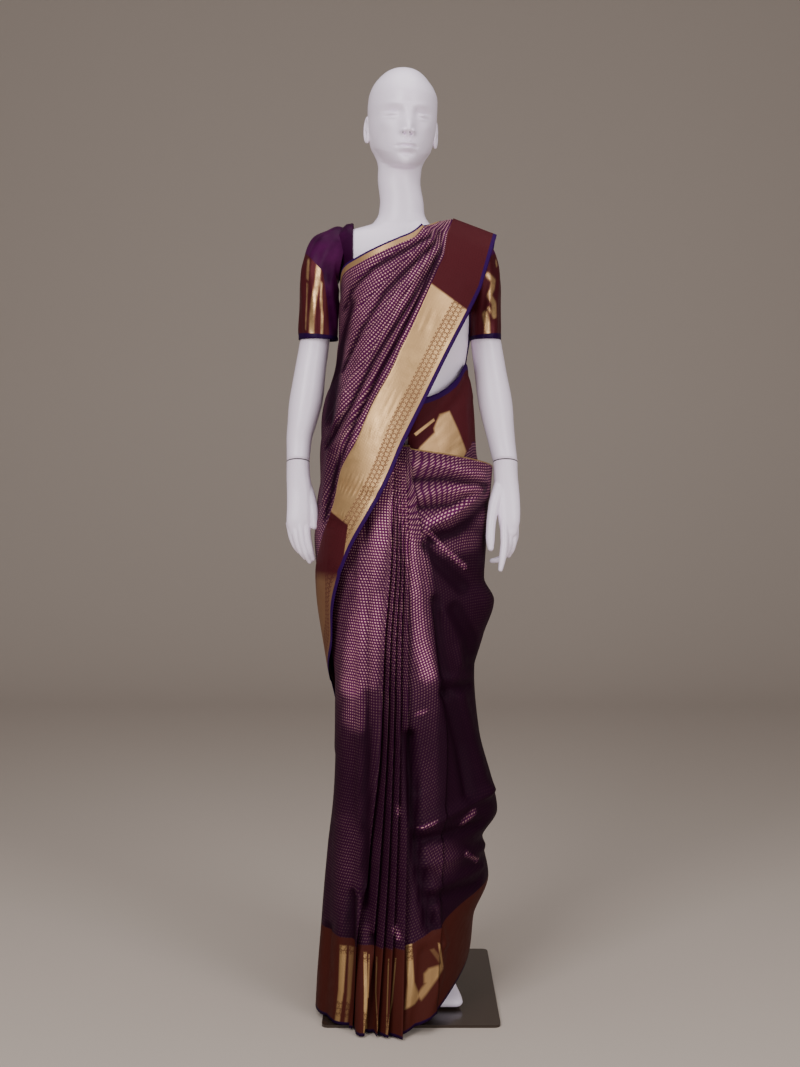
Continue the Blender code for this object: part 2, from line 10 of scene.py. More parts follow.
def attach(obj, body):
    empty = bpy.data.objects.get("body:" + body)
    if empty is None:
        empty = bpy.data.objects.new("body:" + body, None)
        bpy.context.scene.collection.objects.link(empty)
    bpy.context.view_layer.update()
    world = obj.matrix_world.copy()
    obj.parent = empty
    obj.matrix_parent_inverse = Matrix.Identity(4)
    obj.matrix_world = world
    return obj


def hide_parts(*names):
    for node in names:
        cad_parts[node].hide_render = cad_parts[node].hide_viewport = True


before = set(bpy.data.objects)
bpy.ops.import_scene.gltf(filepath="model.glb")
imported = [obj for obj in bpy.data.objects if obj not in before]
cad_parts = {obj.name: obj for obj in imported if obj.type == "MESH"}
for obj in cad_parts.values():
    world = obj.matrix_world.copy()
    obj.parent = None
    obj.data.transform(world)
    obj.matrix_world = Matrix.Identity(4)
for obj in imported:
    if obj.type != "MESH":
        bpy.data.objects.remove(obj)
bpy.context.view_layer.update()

# Base plate: a thin dark plate, polished on top, that the mannequin's foot spigot is bolted to.
# It keeps its solid from the frame and takes a finish with faint smears and dust.
PLATE_COLOUR = (0.034, 0.022, 0.016, 1.0)
PLATE_ROUGH = (0.10, 0.24)
SMEAR_SCALE = 5.0


def new_material(name):
    """A material with its shader and nodes, ready for links."""
    material = bpy.data.materials.new(name)
    material.use_nodes = True
    nodes = material.node_tree.nodes
    return material, nodes, material.node_tree.links, nodes["Principled BSDF"]


def object_place(nodes):
    return nodes.new("ShaderNodeTexCoord").outputs["Object"]


def noise(nodes, links, vector, scale, detail=2.0):
    texture = nodes.new("ShaderNodeTexNoise")
    texture.inputs["Scale"].default_value = scale
    texture.inputs["Detail"].default_value = detail
    links.new(vector, texture.inputs["Vector"])
    return texture.outputs["Fac"]


def spread(nodes, links, value, low_in, high_in, low_out, high_out):
    """A value moved from one range to another, held at its ends."""
    ranged = nodes.new("ShaderNodeMapRange")
    ranged.inputs["From Min"].default_value = low_in
    ranged.inputs["From Max"].default_value = high_in
    ranged.inputs["To Min"].default_value = low_out
    ranged.inputs["To Max"].default_value = high_out
    links.new(value, ranged.inputs["Value"])
    return ranged.outputs["Result"]


def blend_colours(nodes, links, share, first, second):
    """A colour between two, each a colour or a socket."""
    mixed = nodes.new("ShaderNodeMix")
    mixed.data_type = "RGBA"
    links.new(share, mixed.inputs["Factor"])
    for value, socket in ((first, mixed.inputs["A"]), (second, mixed.inputs["B"])):
        if isinstance(value, tuple):
            socket.default_value = value
        else:
            links.new(value, socket)
    return mixed.outputs["Result"]


def plate_finish():
    material, nodes, links, shader = new_material("plate dark gloss")
    smear = noise(nodes, links, object_place(nodes), SMEAR_SCALE, 5.0)
    links.new(spread(nodes, links, smear, 0.35, 0.7, *PLATE_ROUGH), shader.inputs["Roughness"])
    shader.inputs["Base Color"].default_value = PLATE_COLOUR
    shader.inputs["Specular IOR Level"].default_value = 0.36
    return material


base_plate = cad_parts["base_plate"]
base_plate.data.materials.clear()
base_plate.data.materials.append(plate_finish())


# Mannequin: a white satin moulding with a plain sculpted face. Head, trunk and legs are one shell,
# the arms plug in at the shoulders and the hands plug in at the wrists, where the joint's gap is painted dark
# as its shadow.
WHITE = (0.910, 0.785, 0.930, 1.0)
# The colour painted on the wrist joint's faces as the shadow in its gap.
WRIST_SHADOW_COLOUR = (0.025, 0.022, 0.024, 1.0)
SKIN_ROUGH = (0.30, 0.42)
Section = namedtuple("Section", "z x half_width front back taper")
TRUNK = (
    Section(0.700, 0.010, 0.090, 0.050, 0.060, 0.0),
    Section(0.760, 0.010, 0.118, 0.066, 0.080, 0.0),
    Section(0.840, 0.010, 0.130, 0.076, 0.094, 0.0),
    Section(0.920, 0.010, 0.132, 0.078, 0.096, 0.0),
    Section(1.000, 0.008, 0.126, 0.076, 0.088, 0.0),
    Section(1.080, 0.008, 0.112, 0.070, 0.076, 0.0),
    Section(1.160, 0.010, 0.108, 0.066, 0.068, 0.0),
    Section(1.230, 0.017, 0.112, 0.070, 0.068, 0.0),
    Section(1.290, 0.018, 0.114, 0.088, 0.074, 0.0),
    Section(1.340, 0.014, 0.112, 0.094, 0.078, 0.0),
    Section(1.385, 0.005, 0.114, 0.080, 0.078, 0.0),
    Section(1.415, 0.000, 0.124, 0.064, 0.068, 0.0),
    Section(1.434, 0.000, 0.128, 0.054, 0.058, 0.0),
    Section(1.446, 0.000, 0.112, 0.047, 0.052, 0.0),
    Section(1.455, 0.001, 0.080, 0.041, 0.048, 0.0),
    Section(1.463, 0.002, 0.055, 0.038, 0.046, 0.0),
    Section(1.485, 0.003, 0.043, 0.036, 0.046, 0.0),
    Section(1.525, 0.004, 0.0405, 0.037, 0.048, 0.0),
    # Chin and jaw, then face and skull.
    Section(1.5500, 0.005, 0.0415, 0.041, 0.049, 0.05),
    Section(1.5572, 0.005, 0.0430, 0.058, 0.050, 0.35),
    Section(1.5622, 0.005, 0.0445, 0.072, 0.051, 0.38),
    Section(1.5690, 0.005, 0.0475, 0.0800, 0.053, 0.32),
    Section(1.5780, 0.005, 0.0525, 0.0835, 0.057, 0.24),
    Section(1.587, 0.005, 0.0570, 0.0845, 0.063, 0.17),
    Section(1.605, 0.005, 0.0605, 0.0845, 0.073, 0.11),
    Section(1.630, 0.005, 0.0635, 0.0835, 0.085, 0.07),
    Section(1.655, 0.005, 0.0652, 0.0835, 0.093, 0.05),
    Section(1.680, 0.004, 0.0660, 0.0855, 0.098, 0.03),
    Section(1.700, 0.004, 0.0650, 0.0845, 0.099, 0.02),
    Section(1.718, 0.003, 0.0590, 0.0785, 0.094, 0.0),
    Section(1.733, 0.002, 0.0488, 0.0680, 0.083, 0.0),
    Section(1.745, 0.002, 0.0378, 0.0540, 0.067, 0.0),
    Section(1.752, 0.002, 0.0278, 0.0400, 0.050, 0.0),
    Section(1.7562, 0.002, 0.0165, 0.0240, 0.030, 0.0),
    Section(1.7578, 0.002, 0.0080, 0.0100, 0.013, 0.0),
)
CHIN_Z = 1.554
FACE_HALF_TURN = math.radians(58)
FACE_POINTS, BACK_POINTS = 120, 60
HEAD_PIVOT = Vector((0.004, 0.000, 1.665))
HEAD_DOWN, HEAD_ROLL, HEAD_TURN = math.radians(1), math.radians(3.0), math.radians(8)
Bump = namedtuple("Bump", "x z out half_wide half_high")
# The face from chin to brow, in metres from its middle line and up from the chin. Each is made on both sides.
FACE = (
    Bump(0.024, 0.1210, 0.0026, 0.0150, 0.0060),
    Bump(0.000, 0.1350, 0.0020, 0.030, 0.0150),
    Bump(0.029, 0.1060, -0.0068, 0.0130, 0.0090),
    Bump(0.0160, 0.1070, -0.0026, 0.0060, 0.0085),
    Bump(0.0290, 0.1030, 0.0074, 0.0092, 0.0054),
    Bump(0.0295, 0.1092, -0.0028, 0.0110, 0.0014),
    Bump(0.0295, 0.0998, -0.0030, 0.0100, 0.0013),
    Bump(0.0290, 0.0950, 0.0014, 0.0090, 0.0020),
    Bump(0.0100, 0.0700, 0.0080, 0.0040, 0.0042),
    Bump(0.0058, 0.0654, -0.0110, 0.0026, 0.0020),
    Bump(0.0000, 0.0545, -0.0014, 0.0030, 0.0050),
    Bump(0.0000, 0.0465, 0.0062, 0.0210, 0.0150),
    Bump(0.0055, 0.0486, 0.0052, 0.0080, 0.0027),
    Bump(0.0000, 0.0388, 0.0072, 0.0125, 0.0038),
    Bump(0.0000, 0.0438, -0.0058, 0.0150, 0.0013),
    Bump(0.0170, 0.0444, -0.0018, 0.0040, 0.0035),
    Bump(0.0000, 0.0310, -0.0050, 0.0130, 0.0036),
    Bump(0.0000, 0.0170, 0.0038, 0.0130, 0.0080),
    Bump(0.0400, 0.0830, 0.0030, 0.0120, 0.0120),
    Bump(0.0380, 0.0500, -0.0010, 0.0120, 0.0140),
)
NOSE = (
    (0.055, 0.0), (0.060, 0.0035), (0.0665, 0.0125), (0.0718, 0.0185), (0.079, 0.0160), (0.090, 0.0105),
    (0.102, 0.0070), (0.114, 0.0040), (0.126, 0.0),
)
NOSE_HALF_WIDE = ((0.055, 0.0110), (0.072, 0.0108), (0.090, 0.0125), (0.110, 0.0150))
# Painted shade inside the nostrils: its colour, and where the two spots sit.
NOSTRIL_SHADE = (0.060, 0.035, 0.045, 1.0)
NOSTRILS = ((0.0055, 1.6190), (0.0183, 1.6186))
EAR_PLACE = (0.0660, 0.012, 1.640)
EAR_SIZE = (0.0065, 0.0125, 0.0270)
Limb = namedtuple("Limb", "x y z half_width half_depth")
LEGS = (
    (
        Limb(-0.050, 0.000, 0.800, 0.070, 0.075),
        Limb(-0.048, -0.002, 0.620, 0.058, 0.064),
        Limb(-0.045, 0.000, 0.480, 0.044, 0.050),
        Limb(-0.044, 0.012, 0.340, 0.044, 0.050),
        Limb(-0.042, 0.016, 0.180, 0.030, 0.034),
        Limb(-0.040, 0.020, 0.080, 0.026, 0.032),
        Limb(-0.040, 0.018, 0.034, 0.024, 0.034),
    ),
    (
        Limb(0.066, 0.000, 0.800, 0.066, 0.075),
        Limb(0.066, -0.010, 0.620, 0.054, 0.062),
        Limb(0.064, -0.014, 0.480, 0.042, 0.048),
        Limb(0.064, -0.010, 0.340, 0.041, 0.047),
        Limb(0.065, -0.014, 0.180, 0.028, 0.033),
        Limb(0.066, -0.020, 0.080, 0.025, 0.031),
        Limb(0.068, -0.022, 0.034, 0.024, 0.034),
    ),
)
Foot = namedtuple("Foot", "y x half_width low high")
FOOT_LOW = 0.0086
RIGHT_FOOT = (
    Foot(0.056, -0.040, 0.012, 0.004, 0.022),
    Foot(0.048, -0.040, 0.022, 0.000, 0.044),
    Foot(0.015, -0.040, 0.027, 0.000, 0.060),
    Foot(-0.030, -0.042, 0.030, 0.000, 0.050),
    Foot(-0.060, -0.043, 0.034, 0.000, 0.030),
    Foot(-0.082, -0.043, 0.032, 0.000, 0.020),
    Foot(-0.092, -0.043, 0.020, 0.002, 0.012),
)
LEFT_FOOT = tuple(
    Foot(f.y - 0.026, 0.073 - 0.2 * (f.y + 0.03), f.half_width, f.low, f.high) for f in RIGHT_FOOT
)
ARM_POINTS = 48
JOINT_GAP, JOINT_TILT = 0.0018, 0.28
ARMS = {
    "arm_right": (
        Limb(-0.1480, 0.008, 1.427, 0.014, 0.020),
        Limb(-0.1560, 0.008, 1.408, 0.021, 0.028),
        Limb(-0.1590, 0.008, 1.375, 0.0262, 0.033),
        Limb(-0.1605, 0.008, 1.310, 0.0270, 0.034),
        Limb(-0.1610, 0.008, 1.255, 0.0278, 0.034),
        Limb(-0.1635, 0.008, 1.235, 0.0285, 0.032),
        Limb(-0.1720, 0.006, 1.180, 0.0300, 0.032),
        Limb(-0.1790, 0.004, 1.128, 0.0320, 0.033),
        Limb(-0.1870, -0.001, 1.080, 0.0275, 0.030),
        Limb(-0.1920, -0.004, 1.051, 0.0240, 0.027),
        Limb(-0.1935, -0.012, 1.010, 0.0215, 0.024),
    ),
    "arm_left": (
        Limb(0.1480, 0.008, 1.427, 0.014, 0.020),
        Limb(0.1560, 0.008, 1.408, 0.021, 0.028),
        Limb(0.1590, 0.008, 1.375, 0.0262, 0.033),
        Limb(0.1605, 0.008, 1.310, 0.0270, 0.034),
        Limb(0.1625, 0.008, 1.255, 0.0282, 0.034),
        Limb(0.1650, 0.008, 1.235, 0.0290, 0.032),
        Limb(0.1730, 0.006, 1.180, 0.0305, 0.032),
        Limb(0.1810, 0.004, 1.128, 0.0325, 0.033),
        Limb(0.1880, -0.001, 1.080, 0.0290, 0.030),
        Limb(0.1930, -0.004, 1.051, 0.0260, 0.028),
        Limb(0.2000, -0.012, 1.010, 0.0230, 0.024),
    ),
}
# Each hand: the palm from the wrist down, then thumb and fingers.
Bead = namedtuple("Bead", "x y z wide deep")
HANDS = {
    "hand_right": (
        (
            Bead(-0.1935, -0.012, 1.012, 0.0218, 0.0240),
            Bead(-0.1930, -0.014, 0.985, 0.0225, 0.0200),
            Bead(-0.1905, -0.018, 0.955, 0.0240, 0.0165),
            Bead(-0.1895, -0.024, 0.925, 0.0245, 0.0150),
            Bead(-0.1905, -0.030, 0.898, 0.0240, 0.0125),
            Bead(-0.1895, -0.032, 0.882, 0.0200, 0.0090),
        ),
        (
            Bead(-0.1800, -0.012, 0.968, 0.0115, 0.0115),
            Bead(-0.1690, -0.020, 0.938, 0.0105, 0.0105),
            Bead(-0.1625, -0.028, 0.912, 0.0082, 0.0082),
            Bead(-0.1610, -0.034, 0.888, 0.0062, 0.0062),
        ),
        (
            Bead(-0.1770, -0.030, 0.900, 0.0078, 0.0085),
            Bead(-0.1745, -0.036, 0.868, 0.0072, 0.0075),
            Bead(-0.1690, -0.038, 0.845, 0.0062, 0.0064),
            Bead(-0.1635, -0.034, 0.827, 0.0046, 0.0048),
        ),
        (
            Bead(-0.1890, -0.033, 0.898, 0.0080, 0.0086),
            Bead(-0.1850, -0.039, 0.864, 0.0074, 0.0078),
            Bead(-0.1780, -0.040, 0.840, 0.0064, 0.0066),
            Bead(-0.1700, -0.035, 0.822, 0.0048, 0.0048),
        ),
        (
            Bead(-0.2005, -0.030, 0.898, 0.0076, 0.0084),
            Bead(-0.1955, -0.035, 0.866, 0.0070, 0.0074),
            Bead(-0.1880, -0.036, 0.844, 0.0062, 0.0064),
            Bead(-0.1790, -0.030, 0.829, 0.0046, 0.0046),
        ),
        (
            Bead(-0.2100, -0.024, 0.896, 0.0066, 0.0078),
            Bead(-0.2045, -0.028, 0.868, 0.0060, 0.0066),
            Bead(-0.1985, -0.028, 0.852, 0.0054, 0.0056),
            Bead(-0.1915, -0.022, 0.840, 0.0042, 0.0042),
        ),
    ),
    "hand_left": (
        (
            Bead(0.2000, -0.012, 1.012, 0.0230, 0.0240),
            Bead(0.2005, -0.014, 0.985, 0.0230, 0.0200),
            Bead(0.2030, -0.018, 0.955, 0.0230, 0.0165),
            Bead(0.2050, -0.024, 0.925, 0.0225, 0.0150),
            Bead(0.2060, -0.030, 0.898, 0.0205, 0.0125),
            Bead(0.2055, -0.032, 0.882, 0.0170, 0.0090),
        ),
        (
            Bead(0.1900, -0.018, 0.966, 0.0125, 0.0120),
            Bead(0.1780, -0.030, 0.930, 0.0110, 0.0110),
            Bead(0.1715, -0.040, 0.895, 0.0090, 0.0090),
            Bead(0.1695, -0.046, 0.865, 0.0084, 0.0084),
            Bead(0.1700, -0.048, 0.848, 0.0060, 0.0060),
        ),
        (
            Bead(0.1965, -0.034, 0.902, 0.0080, 0.0085),
            Bead(0.1965, -0.042, 0.862, 0.0076, 0.0078),
            Bead(0.1925, -0.048, 0.830, 0.0068, 0.0068),
            Bead(0.1885, -0.050, 0.808, 0.0046, 0.0048),
        ),
        (
            Bead(0.2060, -0.030, 0.898, 0.0078, 0.0085),
            Bead(0.2060, -0.032, 0.862, 0.0072, 0.0076),
            Bead(0.1980, -0.026, 0.834, 0.0064, 0.0066),
            Bead(0.1850, -0.018, 0.824, 0.0056, 0.0058),
            Bead(0.1740, -0.012, 0.822, 0.0046, 0.0046),
        ),
        (
            Bead(0.2140, -0.026, 0.898, 0.0074, 0.0082),
            Bead(0.2150, -0.027, 0.866, 0.0068, 0.0072),
            Bead(0.2120, -0.022, 0.846, 0.0060, 0.0062),
            Bead(0.2060, -0.014, 0.832, 0.0046, 0.0046),
        ),
        (
            Bead(0.2200, -0.020, 0.898, 0.0058, 0.0072),
            Bead(0.2200, -0.020, 0.872, 0.0050, 0.0062),
            Bead(0.2170, -0.014, 0.856, 0.0046, 0.0052),
            Bead(0.2110, -0.008, 0.846, 0.0038, 0.0040),
        ),
    ),
}
HAND_VOXEL, HAND_SMOOTHING = 0.0013, 7


def smooth_curve(xs, ys):
    """A curve through the rows of a table that doesn't overshoot between them."""
    xs, ys = np.array(xs, float), np.array(ys, float)
    slopes = np.diff(ys, axis=0) / np.diff(xs).reshape(-1, *([1] * (ys.ndim - 1)))
    tangents = np.zeros_like(ys)
    tangents[0], tangents[-1] = slopes[0], slopes[-1]
    same = slopes[:-1] * slopes[1:] > 0
    total = slopes[:-1] + slopes[1:]
    tangents[1:-1] = np.where(same, 2 * slopes[:-1] * slopes[1:] / np.where(total == 0, 1, total), 0)

    def value(x):
        x = np.clip(x, xs[0], xs[-1])
        k = min(max(int(np.searchsorted(xs, x, side="right")) - 1, 0), len(xs) - 2)
        h = xs[k + 1] - xs[k]
        t = (x - xs[k]) / h
        near, far = (1 + 2 * t) * (1 - t) ** 2, t * t * (3 - 2 * t)
        return near * ys[k] + t * (
            1 - t
        ) ** 2 * h * tangents[k] + far * ys[k + 1] + t * t * (t - 1) * h * tangents[k + 1]

    return value


def loft(rings):
    """A closed skin over rings of points, capped with a fan at both ends."""
    rings = np.array(rings)
    count, around = rings.shape[:2]
    points = [tuple(p) for p in rings.reshape(-1, 3)]
    faces = []
    for r in range(count - 1):
        for k in range(around):
            n = (k + 1) % around
            faces.append((r * around + k, r * around + n, (r + 1) * around + n, (r + 1) * around + k))
    for first, flip in ((0, True), ((count - 1) * around, False)):
        middle = len(points)
        points.append(tuple(rings[0 if flip else -1].mean(axis=0)))
        for k in range(around):
            n = (k + 1) % around
            faces.append((first + n, first + k, middle) if flip else (first + k, first + n, middle))
    return points, faces


def skin(name, shells):
    """One mesh object from several closed shells, its faces pointing out."""
    mesh = bpy.data.meshes.new(name)
    points, faces = [], []
    for shell_points, shell_faces in shells:
        faces += [tuple(i + len(points) for i in face) for face in shell_faces]
        points += shell_points
    mesh.from_pydata(points, [], faces)
    work = bmesh.new()
    work.from_mesh(mesh)
    bmesh.ops.recalc_face_normals(work, faces=work.faces)
    work.to_mesh(mesh)
    work.free()
    mesh.shade_smooth()
    item = bpy.data.objects.new(name, mesh)
    bpy.context.scene.collection.objects.link(item)
    return item


def made_plain(item):
    """The object's mesh with its modifiers applied."""
    graph = bpy.context.evaluated_depsgraph_get()
    plain = bpy.data.meshes.new_from_object(item.evaluated_get(graph))
    item.modifiers.clear()
    item.data = plain
    plain.shade_smooth()


def join_to(item, tool):
    """Joins a closed tool to the object and removes the tool."""
    union = item.modifiers.new("join", "BOOLEAN")
    union.operation = "UNION"
    union.solver = "EXACT"
    union.object = tool
    made_plain(item)
    bpy.data.objects.remove(tool)


def nostril_shade_dots(nodes, links, place):
    """Two small dark spots painted on the face as the shade inside the nostrils, where they go in."""
    flat = nodes.new("ShaderNodeVectorMath")
    flat.operation = "MULTIPLY"
    flat.inputs[1].default_value = (1.0, 0.0, 1.0)
    links.new(place, flat.inputs[0])
    reaches = []
    for x, z in NOSTRILS:
        reach = nodes.new("ShaderNodeVectorMath")
        reach.operation = "DISTANCE"
        reach.inputs[1].default_value = (x, 0.0, z)
        links.new(flat.outputs["Vector"], reach.inputs[0])
        reaches.append(reach.outputs["Value"])
    nearest = nodes.new("ShaderNodeMath")
    nearest.operation = "MINIMUM"
    for k, reach in enumerate(reaches):
        links.new(reach, nearest.inputs[k])
    split = nodes.new("ShaderNodeSeparateXYZ")
    links.new(place, split.inputs["Vector"])
    on_face = nodes.new("ShaderNodeMath")
    on_face.operation = "MULTIPLY"
    links.new(spread(nodes, links, nearest.outputs["Value"], 0.0006, 0.0018, 0.85, 0.0), on_face.inputs[0])
    links.new(spread(nodes, links, split.outputs["Y"], -0.06, -0.05, 1.0, 0.0), on_face.inputs[1])
    return on_face.outputs["Value"]


def white_satin():
    material, nodes, links, shader = new_material("white satin moulding")
    place = object_place(nodes)
    links.new(
        blend_colours(nodes, links, nostril_shade_dots(nodes, links, place), WHITE, NOSTRIL_SHADE),
        shader.inputs["Base Color"],
    )
    links.new(
        spread(nodes, links, noise(nodes, links, place, 14.0, 4.0), 0.35, 0.65, *SKIN_ROUGH),
        shader.inputs["Roughness"],
    )
    bump = nodes.new("ShaderNodeBump")
    bump.inputs["Strength"].default_value = 0.05
    bump.inputs["Distance"].default_value = 0.0004
    links.new(noise(nodes, links, place, 900.0, 2.0), bump.inputs["Height"])
    links.new(bump.outputs["Normal"], shader.inputs["Normal"])
    shader.inputs["Coat Weight"].default_value = 0.12
    shader.inputs["Coat Roughness"].default_value = 0.25
    return material


def wrist_shadow_finish():
    material, nodes, links, shader = new_material("wrist joint shadow")
    shader.inputs["Base Color"].default_value = WRIST_SHADOW_COLOUR
    links.new(
        spread(nodes, links, noise(nodes, links, object_place(nodes), 200.0), 0.3, 0.7, 0.5, 0.7),
        shader.inputs["Roughness"],
    )
    return material


SATIN, JOINT = white_satin(), wrist_shadow_finish()
face_angles = np.linspace(-FACE_HALF_TURN, FACE_HALF_TURN, FACE_POINTS)
back_angles = np.linspace(FACE_HALF_TURN, 2 * math.pi - FACE_HALF_TURN, BACK_POINTS + 2)[1:-1]
around_body = np.concatenate([face_angles, back_angles])
section_at = smooth_curve([s.z for s in TRUNK], [s[1:] for s in TRUNK])
nose_at, nose_wide = smooth_curve(*zip(*NOSE)), smooth_curve(*zip(*NOSE_HALF_WIDE))
# The jaw's line climbs from the chin to below the ears: how steeply, at each height.
jaw_lift = smooth_curve((1.480, 1.500, 1.546, 1.575, 1.660, 1.680), (0.0, 0.0, 0.32, 0.30, 0.0, 0.0))
body_levels = np.concatenate([
    np.linspace(0.700, 1.400, 30), np.linspace(1.408, 1.485, 26), np.linspace(1.490, 1.540, 12),
    np.linspace(1.543, 1.684, 108), np.linspace(1.688, 1.745, 20), np.linspace(1.747, 1.7578, 9),
])


def face_relief(x, up):
    """How far the face stands out from the plain head, x from the middle line and up from the chin."""
    out = np.zeros_like(x)
    for bump in FACE:
        for side in (1, -1) if bump.x else (1,):
            across, high = (x - side * bump.x) / bump.half_wide, (up - bump.z) / bump.half_high
            out += bump.out * np.exp(-(across**2) - high**2)
    if NOSE[0][0] < up < NOSE[-1][0]:
        out += float(nose_at(up)) * np.exp(-((x / float(nose_wide(up))) ** 2))
    return out


def body_ring(z):
    middle, wide, front, back, taper = section_at(z)
    cosines, sines = np.cos(around_body), np.sin(around_body)
    x = wide * sines * (1 - taper * np.clip(cosines, 0, 1))
    y = np.where(cosines > 0, -front, -back) * cosines
    if z > 1.54:
        y = y - face_relief(x, z - CHIN_Z) * np.clip(cosines * 1.6 - 0.1, 0, 1)
    lift = float(jaw_lift(z)) * (np.clip(y, -0.080, -0.015) + 0.075)
    return np.stack([middle + x, y, z + lift], axis=1)


def bow_head(points):
    """Tips, rolls and turns the head on its neck, easing in from the neck up."""
    turn = Matrix.Rotation(
        HEAD_TURN, 3, "Z",
    ) @ Matrix.Rotation(HEAD_ROLL, 3, "Y") @ Matrix.Rotation(HEAD_DOWN, 3, "X")
    full = np.array(turn)
    local = points - np.array(HEAD_PIVOT)
    ease = np.clip((points[:, 2] - 1.500) / 0.055, 0.0, 1.0)
    ease = (ease * ease * (3 - 2 * ease))[:, None]
    return np.array(HEAD_PIVOT) + local + (local @ full.T - local) * ease


body_points, body_faces = loft([body_ring(z) for z in body_levels])
mannequin = skin("mannequin_shell", [(body_points, body_faces)])


def ear(side):
    """A shell of an ear: a flat egg with a raised rim round a hollow."""
    rings = []
    for v in np.linspace(-0.96, 0.96, 22):
        angle = np.linspace(0, 2 * math.pi, 28, endpoint=False)
        width = math.sqrt(1 - v * v)
        x, y = width * np.cos(angle), width * np.sin(angle)
        reach = np.sqrt(y**2 + (v * 0.9) ** 2)
        hollow = np.exp(-(((reach - 0.35) / 0.30) ** 2)) * np.clip(x, 0, 1) * 0.9
        narrow = 1.0 - 0.28 * (1 - v) / 2
        px = EAR_PLACE[0] + EAR_SIZE[0] * (x - hollow) + 0.0035 * y
        py = EAR_PLACE[1] + EAR_SIZE[1] * y * narrow + 0.004 * v
        rings.append(np.stack([0.006 + side * px, py, EAR_PLACE[2] + EAR_SIZE[2] * v + 0 * x], axis=1))
    return loft(rings)


def ring_of(limb, count, squareness=1.0):
    angle = np.linspace(0, 2 * math.pi, count, endpoint=False)
    return np.stack([
        limb.x + limb.half_width * np.cos(angle), limb.y + limb.half_depth * np.sin(angle), np.full(
            count, limb.z,
        )
    ], axis=1)


def limb_rings(limbs, levels, count):
    rows = sorted(limbs, key=lambda limb: limb.z)
    at = smooth_curve(
        [limb.z for limb in rows], [(limb.x, limb.y, limb.half_width, limb.half_depth) for limb in rows]
    )
    rings = []
    for z in levels:
        x, y, wide, deep = at(z)
        rings.append(ring_of(Limb(x, y, z, wide, deep), count))
    return rings


def foot_shell(rows):
    at = smooth_curve([-f.y for f in rows], [f[1:] for f in rows])
    rings = []
    for y in np.linspace(rows[0].y, rows[-1].y, 26):
        x, wide, low, high = at(-y)
        angle = np.linspace(0, 2 * math.pi, 28, endpoint=False)
        up = np.sin(angle)
        z = low + (high - low) * (np.clip(up, -0.55, 1.0) + 0.55) / 1.55
        rings.append(np.stack([x + wide * np.cos(angle), np.full(28, y), FOOT_LOW + z], axis=1))
    return loft(rings)


for side in (1, -1):
    join_to(mannequin, skin("ear", [ear(side)]))
flat_body = np.array([v.co[:] for v in mannequin.data.vertices])
flat_body = bow_head(flat_body)
mannequin.data.vertices.foreach_set("co", flat_body.reshape(-1))
for leg, foot in zip(LEGS, (RIGHT_FOOT, LEFT_FOOT)):
    join_to(mannequin, skin("foot", [foot_shell(foot)]))
    join_to(mannequin, skin("leg", [loft(limb_rings(leg, np.linspace(leg[-1].z, leg[0].z, 40), 32))]))
mannequin.data.materials.clear()
mannequin.data.materials.append(SATIN)
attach(mannequin, "root")
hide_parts("mannequin_body")


def tilt_joint(points, wrist):
    """Leans the joint's plane so that its front is higher, fading out away from the wrist."""
    away = np.abs(points[:, 2] - wrist.z)
    share = np.clip(1.0 - away / 0.05, 0.0, 1.0)
    points[:, 2] -= JOINT_TILT * (points[:, 1] - wrist.y) * share * share * (3 - 2 * share)
    return points


for name, limbs in ARMS.items():
    wrist = limbs[-1]
    stub = Limb(wrist.x, wrist.y, wrist.z, wrist.half_width * 0.90, wrist.half_depth * 0.90)
    rings = [ring_of(stub._replace(z=wrist.z - JOINT_GAP), ARM_POINTS), ring_of(stub, ARM_POINTS)]
    rings += limb_rings(limbs, np.linspace(wrist.z, limbs[0].z, 60), ARM_POINTS)
    top = rings[-1].mean(axis=0)
    rings += [top + (rings[-1] - top) * share + (0, 0, rise) for share, rise in ((0.8, 0.004), (0.45, 0.007))]
    rings = [tilt_joint(ring.copy(), wrist) for ring in rings]
    arm = skin(f"{name}_shell", [loft(rings)])
    arm.data.materials.append(SATIN)
    arm.data.materials.append(JOINT)
    for face in arm.data.polygons:
        # The joint's faces take the dark material: painted shadow in the gap at the wrist.
        if face.index < 2 * ARM_POINTS or len(face.vertices) == 3 and face.center.z < 1.1:
            face.material_index = 1
    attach(arm, "root")
    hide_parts(name)


def bead_rings(beads, count=20, between=6):
    """Rings along a path of beads, square to the path, with rounded ends."""
    steps = np.linspace(0, len(beads) - 1, (len(beads) - 1) * between + 1)
    at = smooth_curve(range(len(beads)), beads)
    rows = np.array([at(s) for s in steps])
    along = np.gradient(rows[:, :3], axis=0)
    along /= np.linalg.norm(along, axis=1)[:, None]
    angle = np.linspace(0, 2 * math.pi, count, endpoint=False)
    rings = []

    def add(row, direction, scale, push):
        deep = np.cross(direction, (1.0, 0.0, 0.0))
        deep /= np.linalg.norm(deep)
        wide = np.cross(deep, direction)
        middle = row[:3] + direction * push
        rings.append(
            middle + scale * (np.cos(angle)[:, None] * wide * row[3] + np.sin(angle)[:, None] * deep * row[4])
        )

    for row, direction in zip(rows, along):
        add(row, direction, 1.0, 0.0)
    tip = rows[-1]
    for turn in (0.45, 0.85, 1.2, 1.45):
        add(tip, along[-1], math.cos(turn), tip[3] * math.sin(turn))
    return rings


for name, chains in HANDS.items():
    hand = skin(f"{name}_shell", [loft(bead_rings(chain)) for chain in chains])
    remesh = hand.modifiers.new("one skin", "REMESH")
    remesh.mode = "VOXEL"
    remesh.voxel_size = HAND_VOXEL
    relax = hand.modifiers.new("relax", "SMOOTH")
    relax.iterations = HAND_SMOOTHING
    made_plain(hand)
    wrist = ARMS[name.replace("hand", "arm")][-1]
    flat_hand = np.array([v.co[:] for v in hand.data.vertices])
    flat_hand[:, 2] = np.minimum(flat_hand[:, 2], wrist.z - JOINT_GAP)
    hand.data.vertices.foreach_set("co", tilt_joint(flat_hand, wrist).reshape(-1))
    hand.data.materials.clear()
    hand.data.materials.append(SATIN)
    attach(hand, "root")
    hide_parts(name)
